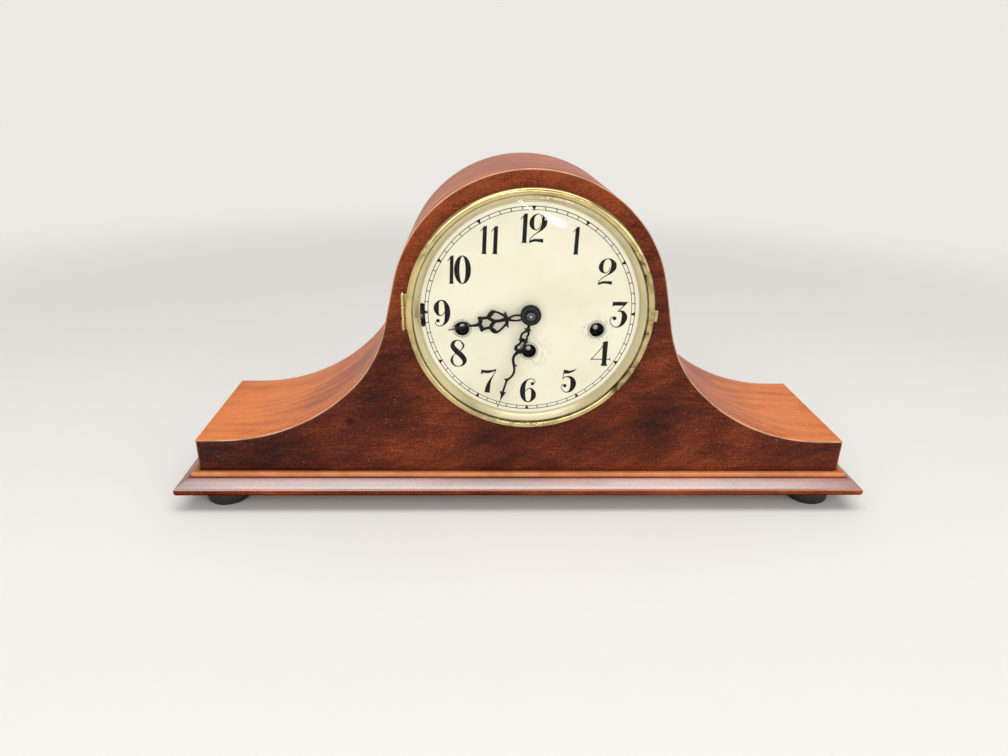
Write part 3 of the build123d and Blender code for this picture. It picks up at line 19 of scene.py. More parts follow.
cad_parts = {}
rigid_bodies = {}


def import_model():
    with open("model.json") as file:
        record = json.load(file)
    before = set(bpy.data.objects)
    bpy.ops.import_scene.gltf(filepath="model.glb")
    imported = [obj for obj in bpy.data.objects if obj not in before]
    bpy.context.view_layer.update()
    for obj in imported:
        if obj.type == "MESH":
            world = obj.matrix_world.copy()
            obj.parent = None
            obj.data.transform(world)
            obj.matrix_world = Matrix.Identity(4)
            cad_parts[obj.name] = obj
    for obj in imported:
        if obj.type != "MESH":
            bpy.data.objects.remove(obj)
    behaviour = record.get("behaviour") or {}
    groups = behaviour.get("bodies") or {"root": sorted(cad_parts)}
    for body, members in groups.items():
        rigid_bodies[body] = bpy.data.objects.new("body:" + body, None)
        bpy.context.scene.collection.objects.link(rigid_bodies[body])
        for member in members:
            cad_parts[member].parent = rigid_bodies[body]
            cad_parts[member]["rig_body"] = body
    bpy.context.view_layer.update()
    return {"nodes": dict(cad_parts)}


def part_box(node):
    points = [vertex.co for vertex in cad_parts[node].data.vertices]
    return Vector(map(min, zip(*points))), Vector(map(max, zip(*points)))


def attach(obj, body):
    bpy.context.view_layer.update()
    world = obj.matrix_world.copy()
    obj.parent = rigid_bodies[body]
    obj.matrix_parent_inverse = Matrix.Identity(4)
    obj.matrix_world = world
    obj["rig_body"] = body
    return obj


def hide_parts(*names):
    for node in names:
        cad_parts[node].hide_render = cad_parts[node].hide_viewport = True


MM = 0.001
TURN = 2 * math.pi
CREASE = 32.0
SAME_POINT = 1e-7
LOG = logging.getLogger("mantel_clock")

Point = tuple[float, float]
Place = tuple[float, float, float]
Loop = list[Point]
Colour = tuple[float, float, float]
Material = bpy.types.Material
Mesh = bpy.types.Mesh
Piece = bpy.types.Object


def ink(red: float, green: float, blue: float) -> Colour:
    """Linear colour of a screen colour given as 0 to 255."""
    shares = (red / 255, green / 255, blue / 255)
    return tuple(c / 12.92 if c <= 0.04045 else ((c + 0.055) / 1.055) ** 2.4 for c in shares)


def polar(radius: float, degrees: float, about: Point = (0.0, 0.0)) -> Point:
    """Point at a radius and an angle about a centre."""
    angle = math.radians(degrees)
    return (about[0] + radius * math.cos(angle), about[1] + radius * math.sin(angle))


def steps(start: float, end: float, count: int) -> list[float]:
    """Evenly spaced numbers from start to end, both included."""
    return [start + (end - start) * i / count for i in range(count + 1)]


def arc(radius: float, start: float, end: float, count: int, about: Point = (0.0, 0.0)) -> Loop:
    """Points along an arc, both ends included."""
    return [polar(radius, angle, about) for angle in steps(start, end, count)]


# Frame


@dataclass(frozen=True)
class Frame:
    """Places that the pieces are drawn from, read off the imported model.

    Args:
        face: depth of the front face of the case, in metres.
        ledge: height of the top of the base moulding, in metres.
        dial: height of the centre of the dial, in metres.
        depth: depth of the case behind its front face, in millimetres.
    """

    face: float
    ledge: float
    dial: float
    depth: float

    @classmethod
    def read(cls) -> "Frame":
        """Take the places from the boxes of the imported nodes.

        Returns:
            The frame.
        """
        front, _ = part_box("front_panel")
        _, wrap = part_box("top_wrap")
        low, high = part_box("bezel_glass")
        return cls(front.y, front.z, (low.z + high.z) / 2, (wrap.y - front.y) / MM)

    def on_case(self, x: float, y: float, z: float) -> Vector:
        """Point from the ledge of the moulding, in millimetres."""
        return Vector((x * MM, self.face + y * MM, self.ledge + z * MM))

    def on_dial(self, x: float, y: float, z: float) -> Vector:
        """Point from the centre of the dial, in millimetres."""
        return Vector((x * MM, self.face + y * MM, self.dial + z * MM))


# Node graphs


class Value:
    """A node's output that takes part in Python sums."""

    def __init__(self, graph: "Graph", socket: Any) -> None:
        """Keep the graph and the socket."""
        self.graph = graph
        self.socket = socket

    def _sum(self, operation: str, *terms: Any) -> "Value":
        """Result of one Math node, from numbers or values in order."""
        return self.graph.node("ShaderNodeMath", {"operation": operation}, dict(enumerate(terms)))

    def __add__(self, other: Any) -> "Value":
        """Sum."""
        return self._sum("ADD", self, other)

    def __radd__(self, other: Any) -> "Value":
        """Sum, reflected."""
        return self._sum("ADD", other, self)

    def __sub__(self, other: Any) -> "Value":
        """Difference."""
        return self._sum("SUBTRACT", self, other)

    def __rsub__(self, other: Any) -> "Value":
        """Difference, reflected."""
        return self._sum("SUBTRACT", other, self)

    def __mul__(self, other: Any) -> "Value":
        """Product."""
        return self._sum("MULTIPLY", self, other)

    def __rmul__(self, other: Any) -> "Value":
        """Product, reflected."""
        return self._sum("MULTIPLY", other, self)

    def __pow__(self, other: Any) -> "Value":
        """Power."""
        return self._sum("POWER", self, other)

    def __rpow__(self, other: Any) -> "Value":
        """Power, reflected."""
        return self._sum("POWER", other, self)

    def sine(self) -> "Value":
        """Sine."""
        return self._sum("SINE", self)

    def size(self) -> "Value":
        """Distance from zero."""
        return self._sum("ABSOLUTE", self)

    def most(self, other: Any) -> "Value":
        """Larger of two."""
        return self._sum("MAXIMUM", self, other)

    def least(self, other: Any) -> "Value":
        """Smaller of two."""
        return self._sum("MINIMUM", self, other)


class Graph:
    """A node tree whose nodes all come from one call."""

    def __init__(self, tree: bpy.types.NodeTree) -> None:
        """Keep the tree and empty it."""
        self.tree = tree
        tree.nodes.clear()

    def node(self, kind: str, settings: Optional[dict] = None, sockets: Optional[dict] = None,
             out: Any = 0) -> Value:
        """Add a node.

        Args:
            kind: Blender's name for the node's type.
            settings: properties set first; "stops" fills a colour ramp.
            sockets: values or links of the inputs, by name or number.
            out: name or number of the output that is returned.

        Returns:
            The chosen output, or an empty value where the node has none.
        """
        made = self.tree.nodes.new(kind)
        for key, item in (settings or {}).items():
            if key == "stops":
                self._fill_ramp(made.color_ramp, item)
            else:
                setattr(made, key, item)
        for key, item in (sockets or {}).items():
            self._feed(made.inputs[key], item)
        return Value(self, made.outputs[out] if len(made.outputs) else None)

    def _fill_ramp(self, ramp: bpy.types.ColorRamp, stops: Sequence[tuple[float, Colour]]) -> None:
        """Set the stops of a colour ramp.

        Args:
            ramp: the ramp of a node.
            stops: pairs of place and colour, in order.
        """
        while len(ramp.elements) < len(stops):
            ramp.elements.new(1.0)
        for element, (place, colour) in zip(ramp.elements, stops):
            element.position = place
            element.color = (*colour, 1.0)

    def _feed(self, socket: Any, item: Any) -> None:
        """Link a value to a socket, or set the socket's own number.

        Args:
            socket: an input socket.
            item: a value, a number or a tuple.
        """
        if isinstance(item, Value):
            self.tree.links.new(item.socket, socket)
        elif isinstance(item, tuple) and len(item) == 3 and len(getattr(socket, "default_value", ())) == 4:
            socket.default_value = (*item, 1.0)
        else:
            socket.default_value = item


class Grain(enum.Enum):
    """Direction in which the grain of a wooden piece runs."""

    ACROSS = "across"
    DEPTH = "depth"
    OVER_HUMP = "over_hump"


class Shader(Graph):
    """Node tree of one material."""

    def __init__(self, name: str) -> None:
        """Make the material.

        Args:
            name: name of the material.
        """
        self.material = bpy.data.materials.new(name)
        self.material.use_nodes = True
        super().__init__(self.material.node_tree)

    def place(self) -> Value:
        """Object coordinates, in metres."""
        return self.node("ShaderNodeTexCoord", out="Object")

    def split(self, vector: Value) -> list[Value]:
        """The three parts of a vector."""
        node = self.node("ShaderNodeSeparateXYZ", None, {0: vector})
        return [Value(self, output) for output in node.socket.node.outputs]

    def stretch(self, vector: Value, scale: Place) -> Value:
        """Vector times three numbers."""
        return self.node("ShaderNodeVectorMath", {"operation": "MULTIPLY"}, {0: vector, 1: scale})

    def turned(self, vector: Value, turn: Place) -> Value:
        """Vector turned by three angles."""
        return self.node("ShaderNodeMapping", None, {"Vector": vector, "Rotation": turn})

    def noise(self, vector: Value, scale: float = 1.0, detail: float = 2.0, rough: float = 0.5) -> Value:
        """Smooth noise from 0 to 1."""
        return self.node("ShaderNodeTexNoise", None,
                         {"Vector": vector, "Scale": scale, "Detail": detail, "Roughness": rough})

    def layer(self, vector: Value, layer: "Layer") -> Value:
        """Noise of one layer of the grain, from 0 to 1."""
        return self.noise(self.stretch(vector, layer.cells), detail=layer.detail, rough=layer.rough)

    def between(self, value: Value, low: float, high: float, start: float = 0.0, end: float = 1.0) -> Value:
        """Value carried from one range to another, held at the ends."""
        return self.node("ShaderNodeMapRange", {"interpolation_type": "SMOOTHSTEP"},
                         {"Value": value, 1: low, 2: high, 3: start, 4: end})

    def tint(self, share: Any, first: Any, second: Any) -> Value:
        """First colour with a share of the second over it."""
        return self.node("ShaderNodeMix", {"data_type": "RGBA", "clamp_factor": True},
                         {0: share, 6: first, 7: second}, 2)

    def ramp(self, value: Value, stops: Sequence[tuple[float, Colour]]) -> Value:
        """Colour of a value along a ramp."""
        return self.node("ShaderNodeValToRGB", {"stops": stops}, {0: value})

    def bump(self, height: Value, distance: float, strength: float = 1.0) -> Value:
        """Normal of a height given in shares of a distance in metres."""
        return self.node("ShaderNodeBump", None,
                         {"Height": height, "Distance": distance, "Strength": strength})

    def near(self, middle: Place, reach: float, full: float) -> Value:
        """One up to the full distance from a point, and zero beyond its reach, whatever the depth."""
        return self.between(self.span(middle), reach, full)

    def span(self, middle: Place) -> Value:
        """Distance from a line that runs back through a point.

        Args:
            middle: the point, in metres.

        Returns:
            The distance in metres, whatever the depth.
        """
        away = self.node("ShaderNodeVectorMath", {"operation": "SUBTRACT"}, {0: self.place(), 1: middle})
        flat = self.stretch(away, (1.0, 0.0, 1.0))
        return self.node("ShaderNodeVectorMath", {"operation": "LENGTH"}, {0: flat}, "Value")

    def circle(self, middle: Place, radius: float, half: float) -> Value:
        """One on a thin circle round such a line, with its half width in metres."""
        return self.between((self.span(middle) - radius).size(), half, half * 0.4)

    def specks(self, vector: Value, scale: float, size: float, share: float) -> Value:
        """Sparse round specks.

        Args:
            vector: place in metres.
            scale: cells to the metre.
            size: radius of a speck, in cells.
            share: share of the cells that hold one.

        Returns:
            One on a speck, and zero elsewhere.
        """
        cell = {"Vector": vector, "Scale": scale}
        near = self.node("ShaderNodeTexVoronoi", None, cell)
        lot = self.split(self.node("ShaderNodeTexVoronoi", None, cell, "Color"))[0]
        return self.between(near, size, size * 0.5) * self.between(lot, share, share * 0.9)

    def close(self, base: Any, rough: Any, normal: Optional[Value] = None, **constants: float) -> Material:
        """Feed the surface shader and its output.

        Args:
            base: base colour.
            rough: roughness.
            normal: normal, where the piece has relief.
            constants: other sockets by name, with underscores for spaces; the coat's weight may be a value.

        Returns:
            The finished material.
        """
        sockets = {"Base Color": base, "Roughness": rough}
        if normal is not None:
            sockets["Normal"] = normal
        sockets.update({key.replace("_", " "): item for key, item in constants.items()})
        return self.end(self.node("ShaderNodeBsdfPrincipled", None, sockets))

    def end(self, surface: Value) -> Material:
        """Feed the output of the material with its surface."""
        self.node("ShaderNodeOutputMaterial", None, {"Surface": surface})
        return self.material


# Finishes


@dataclass(frozen=True)
class Layer:
    """One layer of noise that runs with the grain.

    Args:
        cells: cells to the metre along the grain, across it and up.
        detail: number of its finer octaves.
        rough: strength of the finer octaves.
        weight: its share of the tone.
    """

    cells: Place
    detail: float = 1.0
    rough: float = 0.5
    weight: float = 1.0


@dataclass(frozen=True)
class Zone:
    """Round area of a wooden piece that is lighter or darker than the rest.

    Args:
        middle: its middle, in metres.
        reach: its radius, in metres.
        tone: change of tone in the middle.
    """

    middle: Place
    reach: float
    tone: float


@dataclass(frozen=True)
class Mahogany:
    """Satin red-brown wood with fine flecks, pores and a little dust.

    Args:
        name: name of the material.
        grain: direction of the grain.
        dark: colour of the dark grain.
        middle: colour of most of the wood.
        light: colour of the light grain.
        worn: colour of the worn edges.
        gloss: coat over the wood.
        coat_rough: roughness of the coat.
        coat_bend: index of refraction of the coat.
        sheen: reflection of the bare wood.
        figure: weight of the long bands of the grain.
        patchy: least share of the wear colour where the wood is worn.
        flame: weight of the slanting streaks across the board.
        relief: depth of the pores and the fibre, in metres.
        coated: lowest and highest place of the coat, in metres, where it covers only a band.
        foot: heights where the painted shade under the moulding is darkest and where the wood is plain, in
            metres.
        zones: lighter and darker areas, partly the wood's own tone and partly painted light.
        knot: place of a small knot, in metres, where the piece has one.
    """

    name: str
    grain: Grain
    dark: Colour = ink(44, 17, 10)
    middle: Colour = ink(100, 39, 20)
    light: Colour = ink(158, 76, 36)
    worn: Colour = ink(196, 146, 108)
    gloss: float = 0.05
    coat_rough: float = 0.16
    coat_bend: float = 1.5
    sheen: float = 0.11
    figure: float = 0.03
    patchy: float = 0.25
    flame: float = 0.0
    relief: float = 0.00012
    coated: Optional[Point] = None
    foot: Optional[Point] = None
    zones: tuple[Zone, ...] = ()
    knot: Optional[Place] = None

    CLOUDS: ClassVar[Layer] = Layer((12.0, 20.0, 20.0), 4.0, 0.62, 0.44)
    DRIFT: ClassVar[Layer] = Layer((5.0, 12.0, 12.0), weight=50.0)
    FLECK: ClassVar[Layer] = Layer((800.0, 1700.0, 1700.0), 2.0, 0.7, 0.60)
    FIBRE: ClassVar[Layer] = Layer((60.0, 700.0, 700.0), 3.0, 0.6, 0.24)
    STREAKS: ClassVar[Layer] = Layer((22.0, 90.0, 130.0), 3.0, 0.6)
    PORES: ClassVar[Layer] = Layer((420.0, 2600.0, 2600.0))
    SLANT: ClassVar[Place] = (0.0, 0.5, 0.0)
    BANDS_PER_METRE: ClassVar[float] = 500.0
    DARKER: ClassVar[float] = 0.14
    STOPS: ClassVar[Place] = (0.34, 0.50, 0.68)
    KNOT_SIZE: ClassVar[Point] = (4.2 * MM, 1.2 * MM)
    DUST: ClassVar[Colour] = ink(200, 152, 112)
    # Colour of the painted shade under the moulding.
    UNDERSIDE_SHADE_PAINT: ClassVar[Colour] = ink(26, 10, 6)

    def grain_place(self, wood: Shader) -> Value:
        """Coordinates whose first part runs with the grain.

        Args:
            wood: the material's node tree.

        Returns:
            The coordinates, in metres.
        """
        if self.grain is Grain.OVER_HUMP:
            return wood.node("ShaderNodeUVMap", {"uv_map": "over_hump"})
        turns = {Grain.ACROSS: (0.0, 0.0, 0.0), Grain.DEPTH: (0.0, 0.0, -TURN / 4)}
        return wood.turned(wood.place(), turns[self.grain])

    def tone(self, wood: Shader, place: Value) -> tuple[Value, Value]:
        """Tone of the wood and its fine relief.

        Args:
            wood: the material's node tree.
            place: coordinates along the grain.

        Returns:
            The tone from dark to light, and the relief.
        """
        clouds, drift, fleck, fibre = (wood.layer(place, layer) for layer in
                                       (self.CLOUDS, self.DRIFT, self.FLECK, self.FIBRE))
        _, across, up = wood.split(place)
        bands = ((across + up) * self.BANDS_PER_METRE + drift * self.DRIFT.weight).sine() * 0.5 + 0.5
        tone = (clouds * self.CLOUDS.weight + fleck * self.FLECK.weight + fibre * self.FIBRE.weight
                + (bands - 0.5) * self.figure - self.DARKER)
        if self.flame:
            streaks = wood.layer(wood.turned(place, self.SLANT), self.STREAKS)
            tone = tone + (streaks - 0.5) * self.flame
        # Zones shift the tone; on the front board they also carry painted light falling from the upper left.
        for zone in self.zones:
            tone = tone + wood.near(zone.middle, zone.reach, 0.0) * zone.tone
        return tone, fleck * 0.5 + fibre * 0.5

    def coat(self, wood: Shader, height: Value) -> Union[Value, float]:
        """Weight of the coat, which fades in down its band where it has one.

        Args:
            wood: the material's node tree.
            height: height of the place, in metres.

        Returns:
            The weight, from 0 to 1.
        """
        if self.coated is None:
            return self.gloss
        low, high = self.coated
        band = wood.between(height, low, low + MM) * wood.between(height, high, high - 0.3 * MM)
        return band * wood.between(height, high, high - 2.4 * MM, 0.5, 1.0) * self.gloss

    def make(self) -> Material:
        """Build the material.

        Returns:
            The finished material.
        """
        wood = Shader(self.name)
        place = self.grain_place(wood)
        tone, relief = self.tone(wood, place)
        pores = wood.between(wood.layer(place, self.PORES), 0.60, 0.72)
        colour = wood.ramp(tone, list(zip(self.STOPS, (self.dark, self.middle, self.light))))
        colour = wood.tint(pores * 0.5, colour, self.dark)
        if self.knot is not None:
            colour = wood.tint(wood.near(self.knot, *self.KNOT_SIZE) * 0.85, colour, self.dark)
        worn = wood.node("ShaderNodeAttribute", {"attribute_name": "wear"}, out="Fac")
        patches = wood.between(wood.noise(wood.place(), 70.0, 3.0), 0.38, 0.62, self.patchy, 0.8)
        colour = wood.tint(worn * patches, colour, self.worn)
        dust = wood.specks(wood.place(), 300.0, 0.13, 0.14)
        colour = wood.tint(dust * 0.55, colour, self.DUST)
        height = wood.split(wood.place())[2]
        # Painted shade: the wood darkens down towards the underside of the moulding.
        if self.foot is not None:
            colour = wood.tint(wood.between(height, *self.foot, 0.9, 0.0), colour, self.UNDERSIDE_SHADE_PAINT)
        rough = 0.34 + tone * 0.12 + pores * 0.12 + dust * 0.3
        normal = wood.bump(relief - pores * 0.6, self.relief, 0.5)
        return wood.close(colour, rough, normal, Coat_Weight=self.coat(wood, height), Coat_IOR=self.coat_bend,
                          Coat_Roughness=self.coat_rough, Specular_IOR_Level=self.sheen)


@dataclass(frozen=True)
class PlainWood:
    """Unpolished board with straight grain, for the inside and the back.

    Args:
        name: name of the material.
        pale: lighter colour.
        deep: darker colour.
        along: scale of the grain in the three directions.
        rough: roughness.
    """

    name: str
    pale: Colour = ink(150, 104, 66)
    deep: Colour = ink(98, 60, 36)
    along: Place = (14.0, 420.0, 420.0)
    rough: float = 0.62

    def make(self) -> Material:
        """Build the material.

        Returns:
            The finished material.
        """
        wood = Shader(self.name)
        place = wood.place()
        streaks = wood.layer(place, Layer(self.along, 4.0, 0.6))
        broad = wood.noise(place, 11.0, 3.0)
        pores = wood.between(wood.layer(place, Layer(tuple(4 * cells for cells in self.along))), 0.6, 0.72)
        colour = wood.ramp(streaks * 0.6 + broad * 0.4, [(0.3, self.deep), (0.68, self.pale)])
        colour = wood.tint(pores * 0.4, colour, self.deep)
        return wood.close(colour, self.rough + pores * 0.1, wood.bump(streaks - pores, 0.00015, 0.5))


class Marks(enum.Enum):
    """Fine tool marks that a metal piece keeps."""

    TURNED = "turned"
    BRUSHED = "brushed"
    PLAIN = "plain"


@dataclass(frozen=True)
class Metal:
    """Bare or plated metal with tool marks and tarnish.

    Args:
        name: name of the material.
        colour: colour of the clean metal.
        stain: colour of the tarnish.
        rough: roughness of the clean metal.
        tarnish: share of the surface that is stained.
        marks: kind of the tool marks.
        axis: point on the axis of turned marks, in metres.
        relief: depth of the marks, in metres.
        dark: colour of the darkest stains, of painted shade and of painted dark reflections.
        stains_and_painted_shade: places darkened by tarnish, painted shade and painted dark reflections.
        painted_highlights: places with a painted highlight.
        painted_dark_rings: radius and half width of dark rings painted on as shade and reflection, in metres.
    """

    name: str
    colour: Colour
    stain: Colour
    rough: float = 0.2
    tarnish: float = 0.3
    marks: Marks = Marks.PLAIN
    axis: Place = (0.0, 0.0, 0.0)
    relief: float = 0.00001
    dark: Colour = ink(84, 64, 30)
    stains_and_painted_shade: tuple[Zone, ...] = ()
    painted_highlights: tuple[Zone, ...] = ()
    painted_dark_rings: tuple[Point, ...] = ()

    # Colour of the painted highlights.
    HIGHLIGHT_PAINT: ClassVar[Colour] = ink(206, 202, 198)

    def lines(self, metal: Shader) -> Value:
        """Fine lines of the tool marks.

        Args:
            metal: the material's node tree.

        Returns:
            Their height, from 0 to 1.
        """
        place = metal.place()
        if self.marks is Marks.TURNED:
            line = metal.node("ShaderNodeCombineXYZ", None, {0: metal.span(self.axis) * 2600.0})
            return metal.noise(line, 1.0, 2.0)
        if self.marks is Marks.BRUSHED:
            return metal.noise(metal.stretch(place, (90.0, 90.0, 2400.0)), 1.0, 2.0)
        return metal.noise(place, 900.0, 2.0)

    def make(self) -> Material:
        """Build the material.

        Returns:
            The finished material.
        """
        metal = Shader(self.name)
        place = metal.place()
        lines = self.lines(metal)
        clouds = metal.noise(place, 34.0, 4.0, 0.6)
        spots = metal.specks(place, 520.0, 0.24, 0.22)
        clouded = metal.between(clouds, 0.62 - self.tarnish * 0.4, 0.86) * 0.7
        stain = (clouded + spots * self.tarnish).least(1.0)
        colour = metal.tint(stain, self.colour, self.stain)
        # Dark zones: real tarnish, painted shade and painted dark reflection, as each finish gives them.
        if self.stains_and_painted_shade:
            patches = metal.between(metal.noise(place, 150.0, 3.0, 0.6), 0.38, 0.66, 0.12, 0.9)
            for zone in self.stains_and_painted_shade:
                share = (metal.near(zone.middle, zone.reach, 0.0) * patches * zone.tone).least(1.0)
                colour = metal.tint(share, colour, self.dark)
        # Dark rings painted on as shade and reflection.
        for radius, half in self.painted_dark_rings:
            colour = metal.tint(metal.circle(self.axis, radius, half), colour, self.dark)
        # Painted highlights.
        for zone in self.painted_highlights:
            share = metal.near(zone.middle, zone.reach, zone.reach * 0.5) * zone.tone
            colour = metal.tint(share, colour, self.HIGHLIGHT_PAINT)
        rough = self.rough + lines * 0.06 + stain * 0.22
        return metal.close(colour, rough, metal.bump(lines, self.relief, 0.4), Metallic=1.0)


@dataclass(frozen=True)
class Paint:
    """Opaque paint, enamel, ink or rubber.

    Args:
        name: name of the material.
        colour: main colour.
        second: colour of its faint clouds.
        rough: roughness.
        coat: clear coat.
        scale: size of the clouds and the grain, to the metre.
        relief: depth of the grain, in metres.
        sheen: reflection of the bare paint.
        axis: point on the axis of the worn rings, in metres.
        rings: radius and half width of rings with a painted highlight, in metres.
    """

    name: str
    colour: Colour
    second: Colour
    rough: float = 0.4
    coat: float = 0.0
    scale: float = 60.0
    relief: float = 0.00002
    sheen: float = 0.5
    axis: Place = (0.0, 0.0, 0.0)
    rings: tuple[Point, ...] = ()

    # Colour of the painted ring highlights.
    PAINTED_RING_HIGHLIGHT: ClassVar[Colour] = ink(66, 68, 80)

    def make(self) -> Material:
        """Build the material.

        Returns:
            The finished material.
        """
        paint = Shader(self.name)
        place = paint.place()
        clouds = paint.noise(place, self.scale, 4.0, 0.6)
        grain = paint.noise(place, self.scale * 30, 2.0)
        colour = paint.tint(paint.between(clouds, 0.4, 0.75), self.colour, self.second)
        # Paler rings are painted highlights.
        for radius, half in self.rings:
            colour = paint.tint(paint.circle(self.axis, radius, half) * 0.8, colour, self.PAINTED_RING_HIGHLIGHT)
        rough = self.rough + clouds * 0.08 + grain * 0.06
        return paint.close(colour, rough, paint.bump(grain, self.relief, 0.5), Coat_Weight=self.coat,
                           Specular_IOR_Level=self.sheen)


@dataclass(frozen=True)
class DialCream:
    """Warm cream dial with faint scratches round two winding holes.

    Args:
        name: name of the material.
        cream: colour of the dial.
        shade: colour of its faint clouds.
        scratch: colour of the scratches.
        scratched: places with scratches, as centre and reach in metres.
        axis: centre of the dial, in metres.
        rim: radius of the fine line near its edge, in metres.
    """

    name: str
    cream: Colour = ink(250, 244, 224)
    shade: Colour = ink(238, 230, 204)
    scratch: Colour = ink(146, 138, 120)
    scratched: tuple[tuple[Place, float], ...] = ()
    axis: Place = (0.0, 0.0, 0.0)
    rim: float = 0.0685

    DIRECTIONS: ClassVar[tuple[float, ...]] = (0.5, 1.3, 2.4, 2.9)
    HAIRLINES: ClassVar[Layer] = Layer((2100.0, 1.0, 210.0))

    def make(self) -> Material:
        """Build the material.

        Returns:
            The finished material.
        """
        dial = Shader(self.name)
        place = dial.place()
        clouds = dial.noise(place, 22.0, 4.0, 0.55)
        colour = dial.tint(dial.between(clouds, 0.35, 0.8), self.cream, self.shade)
        for centre, reach in self.scratched:
            colour = dial.tint(self.scratches(dial, centre, reach), colour, self.scratch)
        colour = dial.tint(dial.circle(self.axis, self.rim, 0.32 * MM) * 0.7, colour, self.scratch)
        grain = dial.noise(place, 2600.0, 1.0)
        return dial.close(colour, 0.46 + clouds * 0.08, dial.bump(grain, 0.000008, 0.4), Coat_Weight=0.15)

    def scratches(self, dial: Shader, centre: Place, reach: float) -> Value:
        """Short fine lines in several directions round a hole.

        Args:
            dial: the material's node tree.
            centre: centre of the hole, in metres.
            reach: distance where the scratches end, in metres.

        Returns:
            Their share of the colour.
        """
        span = dial.span(centre)
        ring = dial.between(span, reach, reach * 0.5) * dial.between(span, reach * 0.3, reach * 0.45)
        lines = 0.0
        for turn in self.DIRECTIONS:
            place = dial.turned(dial.place(), (0.0, turn, 0.0))
            lines = dial.between(dial.layer(place, self.HAIRLINES), 0.64, 0.70) + lines
        return (lines.least(1.0) * ring) * 0.8


@dataclass(frozen=True)
class ClearGlass:
    """Thin clear glass that only mirrors at its surface.

    Args:
        name: name of the material.
        tone: colour of what shows through.
        head_on: share mirrored when seen square on.
    """

    name: str
    tone: Colour = (0.985, 0.985, 0.975)
    head_on: float = 0.006

    def make(self) -> Material:
        """Build the material.

        Returns:
            The finished material.
        """
        glass = Shader(self.name)
        facing = glass.node("ShaderNodeLayerWeight", None, {"Blend": 0.5}, "Facing")
        film = glass.between(glass.noise(glass.place(), 60.0, 3.0), 0.4, 0.8, 0.0, 0.002)
        share = facing ** 5.0 * (1.0 - self.head_on) + self.head_on + film
        clear = glass.node("ShaderNodeBsdfTransparent", None, {0: self.tone})
        smear = glass.noise(glass.place(), 25.0, 3.0) * 0.02 + 0.01
        mirror = glass.node("ShaderNodeBsdfPrincipled", None,
                            {"Base Color": (1.0, 1.0, 1.0), "Metallic": 1.0, "Roughness": smear})
        return glass.end(glass.node("ShaderNodeMixShader", None, {0: share, 1: clear, 2: mirror}))


